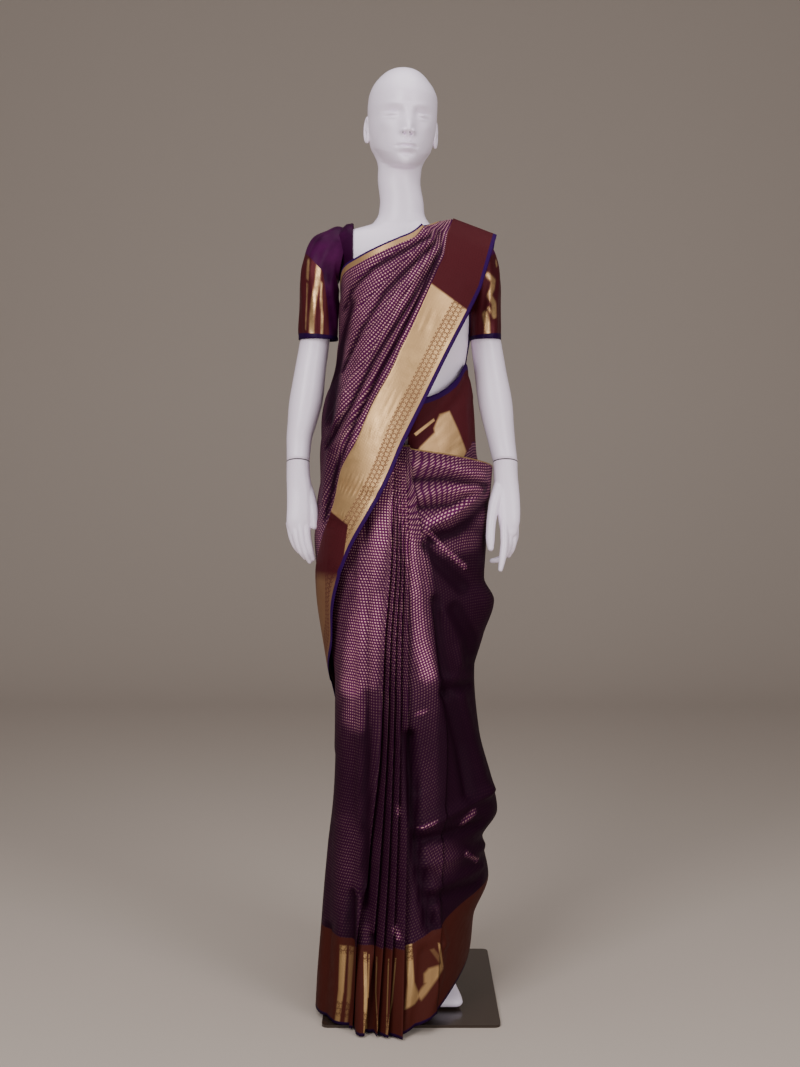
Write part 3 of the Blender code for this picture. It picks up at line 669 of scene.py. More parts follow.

# Blouse: a close bodice of violet silk with a square neck, open at the front under the sari.
# It is cut over the mannequin's chest and shoulders, and the sleeves are set into its armholes.
# The violet silk's shaded and lit colours, mixed in cloudy patches as a painted sheen.
VIOLET_SHADE = (0.026, 0.002, 0.022, 1.0)
VIOLET_LIT = (0.058, 0.004, 0.046, 1.0)
BODICE_LOW, BODICE_HIGH = 1.294, 1.4575
BODICE_OFF, CLOTH_THICK = 0.0032, 0.0010
NECK_HALF_WIDE, NECK_LOW, STRAP_STAND = 0.0885, 1.385, 0.011


def math_node(nodes, links, operation, first, second=None):
    node = nodes.new("ShaderNodeMath")
    node.operation = operation
    for value, socket in zip((first, second), node.inputs):
        if isinstance(value, (int, float)):
            socket.default_value = value
        elif value is not None:
            links.new(value, socket)
    return node.outputs[0]


def between(nodes, links, value, low, high, soft=0.0004):
    """1 where the value lies between two places, 0 outside, with soft ends."""
    rise = spread(nodes, links, value, low - soft, low + soft, 0.0, 1.0)
    fall = spread(nodes, links, value, high - soft, high + soft, 1.0, 0.0)
    return math_node(nodes, links, "MULTIPLY", rise, fall)


def mesh_layer(nodes, name):
    """What a layer of the mesh says at each point."""
    node = nodes.new("ShaderNodeAttribute")
    node.attribute_name = name
    return node.outputs["Fac"]


def cloth_surface(nodes, links, shader, height, strength, distance):
    """The settings that every silk here shares, and the relief of its weave."""
    shader.inputs["Specular IOR Level"].default_value = 0.05
    bump = nodes.new("ShaderNodeBump")
    bump.inputs["Strength"].default_value = strength
    bump.inputs["Distance"].default_value = distance
    links.new(height, bump.inputs["Height"])
    links.new(bump.outputs["Normal"], shader.inputs["Normal"])


def violet_silk():
    material, nodes, links, shader = new_material("violet silk")
    place = object_place(nodes)
    soft = noise(nodes, links, place, 16.0, 3.0)
    fine = noise(nodes, links, place, 700.0, 2.0)
    # Painted sheen: the shaded and lit violets mixed in cloudy patches.
    share = spread(nodes, links, soft, 0.35, 0.65, 0.0, 1.0)
    links.new(blend_colours(nodes, links, share, VIOLET_SHADE, VIOLET_LIT), shader.inputs["Base Color"])
    links.new(spread(nodes, links, soft, 0.3, 0.7, 0.36, 0.50), shader.inputs["Roughness"])
    cloth_surface(nodes, links, shader, fine, 0.15, 0.0004)
    return material


def cloth_thickness(item, thick):
    wall = item.modifiers.new("Cloth thickness", "SOLIDIFY")
    wall.thickness = thick
    wall.offset = 0.0


bodice_rings = []
for z in np.linspace(BODICE_LOW, BODICE_HIGH, 60):
    step = 0.0005
    ring, above, below = body_ring(z), body_ring(z + step), body_ring(z - step)
    around = np.roll(ring, -1, axis=0) - np.roll(ring, 1, axis=0)
    out = np.cross(around, above - below)
    out /= np.linalg.norm(out, axis=1)[:, None]
    bodice_rings.append(ring + out * BODICE_OFF)
bodice_rings = np.array(bodice_rings)
# The straps stand up a little at the neck, because the silk there is doubled and pressed.
stand = np.exp(-(((np.abs(bodice_rings[..., 0]) - 0.097) / 0.013) ** 2) - (bodice_rings[..., 1] / 0.030) ** 2)
bodice_rings[..., 2] += STRAP_STAND * stand * np.where(bodice_rings[..., 0] < 0, 1.0, 0.4)
ring_count, ring_size = bodice_rings.shape[:2]
bodice_mesh = bpy.data.meshes.new("blouse_bodice")
bodice_mesh.from_pydata(
    [tuple(p) for p in bodice_rings.reshape(-1, 3)],
    [],
    [
        (
            r * ring_size + k,
            r * ring_size + (k + 1) % ring_size,
            (r + 1) * ring_size + (k + 1) % ring_size,
            (r + 1) * ring_size + k,
        )
        for r in range(ring_count - 1)
        for k in range(ring_size)
    ],
)
work = bmesh.new()
work.from_mesh(bodice_mesh)
for place, direction in (
    ((-NECK_HALF_WIDE, 0, 0), (1, 0, 0)), ((NECK_HALF_WIDE, 0, 0), (1, 0, 0)), ((0, 0, NECK_LOW), (0, 0, 1)),
):
    bmesh.ops.bisect_plane(
        work, geom=work.verts[:] + work.edges[:] + work.faces[:], plane_co=place, plane_no=direction,
    )
neck = [
    f for f in work.faces if abs(
        f.calc_center_median().x
    ) < NECK_HALF_WIDE and f.calc_center_median().z > NECK_LOW
]
bmesh.ops.delete(work, geom=neck, context="FACES")
work.to_mesh(bodice_mesh)
work.free()
bodice_mesh.shade_smooth()
bodice = bpy.data.objects.new("blouse_bodice", bodice_mesh)
bpy.context.scene.collection.objects.link(bodice)
VIOLET_SILK = violet_silk()
bodice_mesh.materials.append(VIOLET_SILK)
cloth_thickness(bodice, CLOTH_THICK)
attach(bodice, "root")
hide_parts("blouse_body")

# Sleeves: a violet cap with the sari's woven border below it, maroon with gold painted on as highlights where
# it would catch the light, and a narrow violet hem. Each is one tube, set into the armhole and creased by the
# arm.
# The tissue's maroon, and its zari gold, which is painted only where the tissue would catch the light.
TISSUE_MAROON = (0.066, 0.0105, 0.0145, 1.0)
ZARI_GOLD = (0.640, 0.395, 0.185, 1.0)
HEM_VIOLET = (0.016, 0.002, 0.034, 1.0)
Cuff = namedtuple("Cuff", "outer_x outer_z inner_x inner_z half_depth")
SLEEVE = (
    Cuff(0.0960, 1.4520, 0.1180, 1.352, 0.0440),
    Cuff(0.1190, 1.4590, 0.1260, 1.346, 0.0450),
    Cuff(0.1430, 1.4500, 0.1290, 1.338, 0.0450),
    Cuff(0.1650, 1.4350, 0.1305, 1.328, 0.0445),
    Cuff(0.1820, 1.4080, 0.1305, 1.316, 0.0435),
    Cuff(0.1890, 1.3740, 0.1308, 1.303, 0.0425),
    Cuff(0.1915, 1.3320, 0.1315, 1.287, 0.0415),
    Cuff(0.1920, 1.2850, 0.1325, 1.266, 0.0405),
    Cuff(0.1922, 1.2430, 0.1330, 1.2415, 0.0400),
)
SLEEVE_MIDDLE_Y = 0.008
HEM_AT = 7.72
# The violet of the cap ends on this line: how far out from the body's middle, at each height.
SEAM_HEIGHTS = (1.200, 1.245, 1.289, 1.315, 1.346, 1.369, 1.403, 1.410, 1.420)
SEAM_OUT = (0.134, 0.134, 0.1356, 0.1382, 0.1424, 0.1456, 0.176, 0.187, 0.210)
# The right sleeve is looser under the arm, and the left one lies lower, under the sari's border.
LOOSE_RIGHT, LOWER_LEFT = 0.0135, 0.008
SLEEVE_RINGS, SLEEVE_AROUND = 84, 96
Stroke = namedtuple("Stroke", "wide amount path")
# Painted gold highlights along each sleeve's creases, seen from the front: how wide, how strong, and where they
# run.
RIGHT_SLEEVE_GLINTS = (
    Stroke(
        0.0044, 1.0, ((-0.153, 1.380), (-0.156, 1.348), (-0.162, 1.318), (-0.166, 1.285), (-0.167, 1.250)),
    ),
    Stroke(0.0020, 0.8, ((-0.148, 1.347), (-0.149, 1.318), (-0.147, 1.281), (-0.148, 1.250))),
    Stroke(0.0022, 0.6, ((-0.173, 1.391), (-0.175, 1.356))),
    Stroke(0.0014, 0.4, ((-0.175, 1.347), (-0.178, 1.262))),
)
LEFT_SLEEVE_GLINTS = (
    Stroke(
        0.0042,
        1.0,
        ((0.165, 1.362), (0.176, 1.352), (0.174, 1.337), (0.168, 1.324), (0.177, 1.310), (0.178, 1.286)),
    ),
    Stroke(0.0050, 1.0, ((0.161, 1.288), (0.164, 1.272), (0.165, 1.254))),
    Stroke(0.0022, 0.8, ((0.166, 1.300), (0.172, 1.292), (0.180, 1.283))),
    Stroke(0.0016, 0.7, ((0.182, 1.392), (0.183, 1.381))),
)


def stroke_values(points, strokes, blend, power=2):
    """What the strokes amount to at each point of the front, summed or the greatest."""
    total = np.zeros(len(points))
    place = points[:, (0, 2)]
    for stroke in strokes:
        path = np.array(stroke.path)
        nearest = np.full(len(points), np.inf)
        for a, b in zip(path, path[1:]):
            share = np.clip((place - a) @ (b - a) / max((b - a) @ (b - a), 1e-9), 0.0, 1.0)
            nearest = np.minimum(nearest, np.linalg.norm(place - a - share[:, None] * (b - a), axis=1))
        total = blend(total, stroke.amount * np.exp(-((nearest / stroke.wide) ** power)))
    return total * np.clip(-points[:, 1] / 0.04 + 0.5, 0.0, 1.0)


def sleeve_finish():
    """Violet above the seam, border tissue below it, and a violet hem."""
    material, nodes, links, shader = new_material("sleeve border tissue")
    place = object_place(nodes)
    length = mesh_layer(nodes, "down_sleeve")
    soft = noise(nodes, links, place, 20.0, 3.0)
    # Painted gold highlight: the tissue shows gold along the strokes where it would catch the light, broken up
    # by streaky noise, and maroon elsewhere.
    glint_streak = noise(nodes, links, place, 110.0, 3.0)
    gold = math_node(
        nodes,
        links,
        "MULTIPLY",
        mesh_layer(nodes, "gold_highlight"),
        spread(nodes, links, glint_streak, 0.35, 0.6, 0.65, 1.05),
    )
    tissue = blend_colours(nodes, links, gold, TISSUE_MAROON, ZARI_GOLD)
    past_seam = spread(nodes, links, mesh_layer(nodes, "past_seam"), -0.0006, 0.0006, 0.0, 1.0)
    above_hem = spread(nodes, links, length, HEM_AT - 0.02, HEM_AT + 0.02, 1.0, 0.0)
    in_tissue = math_node(nodes, links, "MULTIPLY", past_seam, above_hem)
    # Painted sheen on the violet: its shaded and lit colours mixed in cloudy patches.
    share = spread(nodes, links, soft, 0.35, 0.65, 0.0, 1.0)
    violet = blend_colours(nodes, links, share, VIOLET_SHADE, VIOLET_LIT)
    hem = between(nodes, links, length, HEM_AT, 9.0, 0.02)
    plain = blend_colours(nodes, links, hem, violet, HEM_VIOLET)
    links.new(blend_colours(nodes, links, in_tissue, plain, tissue), shader.inputs["Base Color"])
    metal = math_node(nodes, links, "MULTIPLY", in_tissue, spread(nodes, links, gold, 0.0, 1.0, 0.25, 0.9))
    links.new(metal, shader.inputs["Metallic"])
    links.new(spread(nodes, links, soft, 0.3, 0.7, 0.32, 0.46), shader.inputs["Roughness"])
    cloth_surface(nodes, links, shader, noise(nodes, links, place, 420.0, 2.0), 0.2, 0.0005)
    return material


SLEEVE_FINISH = sleeve_finish()
cuff_at = smooth_curve(range(len(SLEEVE)), SLEEVE)
for name, side, gold in (("sleeve_right", -1, RIGHT_SLEEVE_GLINTS), ("sleeve_left", 1, LEFT_SLEEVE_GLINTS)):
    down = np.linspace(0, len(SLEEVE) - 1, SLEEVE_RINGS)
    turn = np.linspace(0, 2 * math.pi, SLEEVE_AROUND, endpoint=False)
    rings = []
    for at in down:
        outer_x, outer_z, inner_x, inner_z, deep = cuff_at(at)
        if side < 0:
            inner_x -= LOOSE_RIGHT * min(1.0, at / 2.2)
        else:
            outer_z -= LOWER_LEFT * max(0.0, 1.0 - at / 4.0)
        middle = np.array([(outer_x + inner_x) / 2, SLEEVE_MIDDLE_Y, (outer_z + inner_z) / 2])
        half = np.array([(outer_x - inner_x) / 2, 0.0, (outer_z - inner_z) / 2])
        loose = min(1.0, at / 3.0) * (0.35 if at > HEM_AT else 1.0)
        crease = 0.0010 * np.sin(5 * turn + 1.1 * at + side) + 0.0008 * np.sin(9 * turn - 1.7 * at)
        crease += 0.0010 * np.sin(2 * turn + 2.6 * at) * np.cos(turn * 0.5) ** 2
        hem_roll = 0.0008 if at > HEM_AT else 0.0
        wave = 1.0 + (loose * crease + hem_roll) / deep
        ring = middle + (
            np.cos(turn) * wave
        )[:, None] * half + (np.sin(turn) * wave)[:, None] * np.array([0, -deep, 0])
        rings.append(ring * (side, 1, 1))
    rings = np.array(rings)
    mesh = bpy.data.meshes.new(f"{name}_cloth")
    mesh.from_pydata(
        [tuple(p) for p in rings.reshape(-1, 3)],
        [],
        [
            (r * SLEEVE_AROUND + k, r * SLEEVE_AROUND + (k + 1) % SLEEVE_AROUND,
             (r + 1) * SLEEVE_AROUND + (k + 1) % SLEEVE_AROUND, (r + 1) * SLEEVE_AROUND + k)
            for r in range(SLEEVE_RINGS - 1)
            for k in range(SLEEVE_AROUND)
        ],
    )
    flat = rings.reshape(-1, 3)
    # Each sleeve's seam line, its painted gold highlight and its length down the sleeve, as layers of the mesh.
    for label, values in (
        ("past_seam", np.abs(flat[:, 0]) - np.interp(flat[:, 2], SEAM_HEIGHTS, SEAM_OUT)),
        ("gold_highlight", stroke_values(flat, gold, np.maximum, 4)),
        ("down_sleeve", np.repeat(down, SLEEVE_AROUND)),
    ):
        mesh.attributes.new(label, "FLOAT", "POINT").data.foreach_set("value", values.astype(np.float32))
    work = bmesh.new()
    work.from_mesh(mesh)
    bmesh.ops.recalc_face_normals(work, faces=work.faces)
    work.to_mesh(mesh)
    work.free()
    mesh.shade_smooth()
    mesh.materials.append(SLEEVE_FINISH)
    sleeve = bpy.data.objects.new(f"{name}_cloth", mesh)
    bpy.context.scene.collection.objects.link(sleeve)
    cloth_thickness(sleeve, CLOTH_THICK)
    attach(sleeve, "root")
    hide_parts(name)
# Sari: one length of purple silk, 1.15 m wide, woven with small gold dashes, a deep gold border along its
# lower edge and a narrow one along its upper edge. It is wrapped, pleated at the front, wrapped again and
# taken up over the left shoulder. A station is one line across the cloth, from lower to upper edge.
SARI_THICK = 0.0008
LINES_ACROSS = 18
OUTER_OFF = 0.0075
PLEAT_RISE = 0.0050
BORDER_DEEP = 0.148
PALLU_OFF = 0.0050
FOLD_DEPTH = 0.010
FOLD_SHARE = 0.6
QUARTER = math.pi / 2

Form = namedtuple("Form", "z left right front back")
SKIRT_FORM = (
    Form(0.000, 0.147, 0.116, 0.245, 0.105),
    Form(0.050, 0.146, 0.116, 0.236, 0.105),
    Form(0.155, 0.141, 0.127, 0.205, 0.106),
    Form(0.300, 0.132, 0.140, 0.170, 0.108),
    Form(0.470, 0.122, 0.132, 0.142, 0.112),
    Form(0.594, 0.1225, 0.130, 0.130, 0.118),
    Form(0.700, 0.137, 0.134, 0.122, 0.124),
    Form(0.840, 0.145, 0.148, 0.114, 0.130),
    Form(0.950, 0.138, 0.152, 0.106, 0.128),
    Form(1.040, 0.137, 0.146, 0.098, 0.112),
    Form(1.120, 0.128, 0.141, 0.090, 0.096),
    Form(1.200, 0.106, 0.127, 0.086, 0.086),
)
PALLU_FORM = (
    Form(0.590, 0.1225, 0.150, 0.138, 0.150),
    Form(0.650, 0.133, 0.160, 0.144, 0.152),
    Form(0.770, 0.150, 0.180, 0.150, 0.154),
    Form(0.870, 0.153, 0.190, 0.146, 0.154),
    Form(0.990, 0.143, 0.190, 0.138, 0.148),
    Form(1.070, 0.142, 0.190, 0.132, 0.140),
    Form(1.130, 0.133, 0.190, 0.128, 0.128),
    Form(1.200, 0.112, 0.190, 0.124, 0.110),
    Form(1.330, 0.106, 0.195, 0.118, 0.096),
    Form(1.400, 0.106, 0.200, 0.108, 0.094),
    Form(1.450, 0.108, 0.210, 0.088, 0.094),
)
# The skirt's front corner on the wearer's right stands out from the round form: how far at each height.
CORNER_HIGH = (0.0, 0.155, 0.300, 0.470, 0.590)
CORNER_OUT = (0.019, 0.014, 0.012, 0.006, 0.0)
Wrap = namedtuple("Wrap", "angle low high")
INNER_WRAP = (
    Wrap(6, 0.012, 1.120),
    Wrap(28, 0.060, 1.135),
    Wrap(52, 0.090, 1.165),
    Wrap(76, 0.100, 1.195),
    Wrap(102, 0.100, 1.190),
    Wrap(128, 0.080, 1.150),
    Wrap(154, 0.040, 1.110),
    Wrap(180, 0.012, 1.090),
    Wrap(206, 0.012, 1.080),
    Wrap(230, 0.012, 1.075),
    Wrap(252, 0.010, 1.070),
)
PANEL_LOW, PANEL_HIGH = 0.008, 1.055
PleatRow = namedtuple("PleatRow", "z first second third fourth fifth panel")
PLEATS = (
    PleatRow(0.004, -0.080, -0.056, -0.037, -0.019, 0.004, 0.058),
    PleatRow(0.305, -0.050, -0.032, -0.018, -0.005, 0.011, 0.072),
    PleatRow(0.490, -0.032, -0.0215, -0.011, 0.000, 0.013, 0.080),
    PleatRow(0.680, -0.0255, -0.016, -0.007, 0.002, 0.013, 0.064),
    PleatRow(0.830, -0.015, -0.007, 0.000, 0.0060, 0.013, 0.043),
    PleatRow(1.020, -0.010, -0.005, 0.000, 0.005, 0.010, 0.0165),
)
PLEAT_LOW, PLEAT_HIGH = 0.003, 1.040
LAST_RISE = 0.030
LAST_PLEAT = 5
Outer = namedtuple("Outer", "turn low high swag")
# A turn below 1 runs from the front panel's edge to the wearer's left side, and above 1 it is round the back.
OUTER_WRAP = (
    Outer(0.00, 0.033, 1.035, 0.00),
    Outer(0.14, 0.045, 1.030, 0.05),
    Outer(0.34, 0.059, 1.024, 0.25),
    Outer(0.56, 0.071, 1.016, 0.60),
    Outer(0.78, 0.082, 1.008, 0.90),
    Outer(1.00, 0.092, 1.002, 1.00),
    Outer(1.25, 0.112, 1.006, 0.85),
    Outer(1.50, 0.140, 1.020, 0.50),
    Outer(1.74, 0.210, 1.050, 0.20),
    Outer(2.00, 0.300, 1.100, 0.00),
    Outer(2.29, 0.390, 1.160, 0.00),
)
SWAG_OUTLINE = (
    (0.050, 0.122),
    (0.100, 0.134),
    (0.155, 0.140),
    (0.226, 0.168),
    (0.298, 0.156),
    (0.350, 0.185),
    (0.400, 0.176),
    (0.500, 0.150),
    (0.607, 0.141),
    (0.680, 0.158),
    (0.747, 0.179),
    (0.790, 0.160),
    (0.840, 0.163),
    (0.900, 0.166),
    (0.950, 0.172),
    (1.000, 0.176),
)
Line = namedtuple("Line", "share low_x low_z border_x border_z high_x high_z")
PALLU_FRONT = (
    Line(0.12, -0.118, 0.672, -0.141, 0.853, -0.111, 1.345),
    Line(0.26, -0.116, 0.738, -0.116, 0.930, -0.101, 1.374),
    Line(0.40, -0.092, 0.833, -0.104, 0.989, -0.073, 1.390),
    Line(0.52, -0.055, 0.907, -0.073, 1.053, -0.048, 1.402),
    Line(0.64, -0.018, 0.980, -0.046, 1.119, -0.022, 1.414),
    Line(0.76, 0.0275, 1.086, 0.000, 1.214, 0.004, 1.426),
    Line(0.88, 0.082, 1.203, 0.044, 1.311, 0.026, 1.438),
    Line(1.00, 0.143, 1.331, 0.075, 1.388, 0.038, 1.450),
)
SIDE_HEIGHTS = (0.594, 0.785, 1.340)
FAN_SHARES = (0.13, 0.27, 0.42, 0.58, 0.75, 0.90)
BORDER_SHARES = (0.0, 0.25, 0.5, 0.75, 1.0)
Across = namedtuple("Across", "low_x low_y low_z border_x border_y border_z high_x high_y high_z")
SHOULDER = (
    Across(0.170, -0.070, 1.392, 0.087, -0.076, 1.430, 0.044, -0.066, 1.448),
    Across(0.183, -0.026, 1.434, 0.100, -0.022, 1.466, 0.070, -0.020, 1.4600),
    Across(0.184, 0.024, 1.436, 0.101, 0.022, 1.468, 0.072, 0.024, 1.4630),
    Across(0.182, 0.060, 1.418, 0.098, 0.060, 1.444, 0.062, 0.062, 1.444),
    Across(0.176, 0.092, 1.382, 0.092, 0.094, 1.398, 0.050, 0.096, 1.404),
    Across(0.158, 0.114, 1.330, 0.080, 0.118, 1.335, 0.034, 0.120, 1.338),
    Across(0.130, 0.162, 1.180, 0.054, 0.166, 1.180, 0.000, 0.168, 1.180),
    Across(0.122, 0.186, 1.020, 0.044, 0.188, 1.020, -0.012, 0.188, 1.020),
    Across(0.120, 0.192, 0.840, 0.040, 0.194, 0.840, -0.020, 0.194, 0.840),
    Across(0.120, 0.190, 0.680, 0.038, 0.192, 0.680, -0.024, 0.192, 0.680),
)
FINE_STEPS = (0.0, 0.09, 0.2, 0.32, 0.44, 0.56, 0.68, 0.8, 0.91)
# The narrow pleats stand deeper below the waist: how deep at each height.
PLEAT_DEPTH = ((0.0, 0.016), (0.30, 0.014), (0.70, 0.011), (0.86, 0.008), (0.98, 0.002), (1.04, 0.0))
# Soft ridges and troughs of the cloth, seen from the front: how wide, how far out, and where they run.
SKIRT_FOLDS = (
    Stroke(0.0055, 0.0035, ((0.024, 1.002), (0.073, 1.005), (0.159, 0.982))),
    Stroke(0.0064, -0.0075, ((0.026, 0.976), (0.086, 0.978), (0.161, 0.965))),
    Stroke(0.0082, 0.0055, ((0.035, 0.947), (0.092, 0.958), (0.154, 0.962))),
    Stroke(0.0064, -0.008, ((0.037, 0.925), (0.099, 0.930), (0.159, 0.956))),
    Stroke(0.0064, 0.0075, ((0.046, 0.888), (0.086, 0.905), (0.159, 0.958))),
    Stroke(0.0110, -0.006, ((0.055, 0.866), (0.101, 0.879), (0.161, 0.930))),
    Stroke(0.0040, 0.0055, ((0.048, 0.886), (0.082, 0.850), (0.121, 0.815))),
    Stroke(0.0092, -0.0045, ((0.044, 0.857), (0.073, 0.821), (0.114, 0.778))),
    Stroke(0.0073, -0.007, ((0.062, 0.757), (0.071, 0.666), (0.086, 0.580))),
    Stroke(0.0055, 0.0045, ((0.077, 0.739), (0.106, 0.673), (0.111, 0.633))),
    Stroke(0.0091, -0.005, ((0.101, 0.739), (0.128, 0.684), (0.135, 0.629))),
    Stroke(0.0064, 0.005, ((0.073, 0.610), (0.106, 0.610))),
    Stroke(0.0064, -0.005, ((0.080, 0.588), (0.128, 0.593))),
    Stroke(0.0091, -0.009, ((0.085, 0.582), (0.111, 0.484), (0.127, 0.395))),
    Stroke(0.0109, 0.006, ((0.113, 0.575), (0.142, 0.465), (0.161, 0.392))),
    Stroke(0.0090, 0.009, ((0.034, 0.349), (0.072, 0.361), (0.166, 0.395))),
    Stroke(0.0081, -0.011, ((0.036, 0.325), (0.090, 0.333), (0.151, 0.340))),
    Stroke(0.0090, 0.006, ((0.041, 0.285), (0.090, 0.288), (0.158, 0.285))),
    Stroke(0.0054, 0.005, ((0.050, 0.245), (0.090, 0.249), (0.151, 0.256))),
    Stroke(0.0072, -0.008, ((0.057, 0.227), (0.099, 0.229), (0.143, 0.231))),
    Stroke(0.0045, 0.004, ((0.114, 0.345), (0.139, 0.364))),
    Stroke(0.0045, 0.004, ((0.119, 0.294), (0.144, 0.271))),
    Stroke(0.0090, -0.02, ((0.016, 0.511), (0.022, 0.403), (0.032, 0.295), (0.054, 0.179))),
    Stroke(0.0072, 0.008, ((0.034, 0.403), (0.043, 0.313), (0.061, 0.215), (0.079, 0.143))),
    Stroke(0.0073, -0.0035, ((-0.087, 0.904), (-0.085, 0.685), (-0.084, 0.467), (-0.087, 0.213))),
    Stroke(0.0091, 0.003, ((-0.073, 0.831), (-0.071, 0.576), (-0.071, 0.358))),
    Stroke(0.0054, -0.0045, ((-0.058, 0.940), (-0.060, 0.687), (-0.062, 0.469), (-0.062, 0.215))),
    Stroke(0.0072, 0.003, ((-0.043, 0.904), (-0.045, 0.578), (-0.047, 0.288))),
    Stroke(0.0092, 0.0025, ((-0.110, 0.683), (-0.108, 0.464), (-0.110, 0.207))),
    Stroke(0.0074, -0.004, ((-0.129, 0.460), (-0.131, 0.239), (-0.136, 0.091))),
    Stroke(0.0062, -0.008, ((-0.085, 0.229), (-0.087, 0.122), (-0.089, -0.006))),
    Stroke(0.0088, 0.019, ((-0.069, 0.235), (-0.069, 0.129), (-0.069, -0.009))),
    Stroke(0.0090, 0.007, ((-0.104, 0.188), (-0.108, 0.116), (-0.113, -0.006))),
    Stroke(0.0044, -0.013, ((-0.051, 0.164), (-0.049, 0.093), (-0.048, -0.006))),
    Stroke(0.0054, -0.005, ((-0.130, 0.161), (-0.134, 0.071), (-0.136, -0.009))),
    Stroke(0.0071, 0.006, ((0.023, 0.155), (0.014, 0.058), (0.004, -0.006))),
    Stroke(0.0062, -0.008, ((0.043, 0.140), (0.037, 0.078), (0.025, 0.009))),
    Stroke(0.0063, 0.005, ((0.074, 0.143), (0.072, 0.089), (0.050, 0.027))),
    Stroke(0.0024, 0.0014, ((0.007, 0.617), (0.067, 0.617))),
    Stroke(0.0024, 0.0016, ((0.007, 0.554), (0.080, 0.554))),
    Stroke(0.0024, 0.001, ((-0.113, 0.554), (-0.029, 0.554))),
)
PALLU_FOLDS = (
    Stroke(
        0.0044, -0.005, ((0.073, 1.435), (0.009, 1.397), (-0.051, 1.364), (-0.088, 1.331), (-0.102, 1.296)),
    ),
    Stroke(
        0.0048, 0.0035, ((0.077, 1.430), (0.022, 1.393), (-0.029, 1.356), (-0.069, 1.309), (-0.099, 1.260)),
    ),
    Stroke(
        0.0044, -0.0055, ((0.080, 1.426), (0.027, 1.375), (-0.027, 1.320), (-0.073, 1.250), (-0.106, 1.181)),
    ),
    Stroke(
        0.0051, 0.0035, ((0.082, 1.419), (0.037, 1.360), (-0.009, 1.305), (-0.058, 1.228), (-0.104, 1.132)),
    ),
    Stroke(
        0.0044,
        -0.006,
        ((0.084, 1.409), (0.044, 1.342), (0.000, 1.272), (-0.048, 1.196), (-0.095, 1.104), (-0.135, 1.040)),
    ),
    Stroke(
        0.0051,
        0.004,
        ((0.079, 1.393), (0.046, 1.333), (0.007, 1.265), (-0.037, 1.185), (-0.080, 1.108), (-0.121, 1.031)),
    ),
    Stroke(
        0.0040,
        -0.0075,
        (
            (0.068, 1.375),
            (0.033, 1.305),
            (0.002, 1.243),
            (-0.035, 1.177),
            (-0.079, 1.090),
            (-0.115, 1.002),
            (-0.139, 0.903),
        ),
    ),
    Stroke(0.0073, -0.005, ((-0.088, 1.307), (-0.107, 1.233), (-0.121, 1.160), (-0.132, 1.086))),
    Stroke(0.0064, 0.0045, ((-0.101, 1.132), (-0.129, 1.050), (-0.141, 0.939))),
    Stroke(0.0027, -0.0042, ((-0.105, 0.969), (-0.072, 0.957), (-0.036, 0.942))),
    Stroke(0.0033, 0.0022, ((-0.107, 0.978), (-0.072, 0.966), (-0.033, 0.951))),
    Stroke(0.0029, 0.0032, ((-0.125, 0.913), (-0.091, 0.897))),
    Stroke(0.0040, -0.003, ((-0.129, 0.902), (-0.094, 0.886))),
    Stroke(0.0029, 0.003, ((-0.133, 0.822), (-0.109, 0.807))),
    Stroke(0.0046, -0.0022, ((0.036, 1.272), (0.055, 1.265), (0.069, 1.250))),
    Stroke(0.0045, -0.0015, ((-0.029, 1.121), (0.004, 1.107), (0.029, 1.089))),
    Stroke(0.0045, 0.0015, ((-0.051, 1.071), (-0.014, 1.054))),
)
WAIST_FOLDS = (
    Stroke(0.0055, -0.005, ((0.129, 1.175), (0.111, 1.127), (0.074, 1.087), (0.029, 1.050))),
    Stroke(0.0055, 0.0035, ((0.101, 1.146), (0.074, 1.114), (0.033, 1.079))),
    Stroke(0.0065, 0.0045, ((0.122, 1.127), (0.122, 1.068), (0.114, 1.020))),
    Stroke(0.0055, -0.0045, ((0.137, 1.124), (0.141, 1.068), (0.144, 1.022))),
    Stroke(0.0028, 0.003, ((0.029, 1.066), (0.063, 1.092))),
    Stroke(0.0055, -0.003, ((0.046, 1.035), (0.083, 1.050), (0.111, 1.039))),
    Stroke(0.0046, 0.0025, ((0.074, 1.028), (0.101, 1.068))),
)
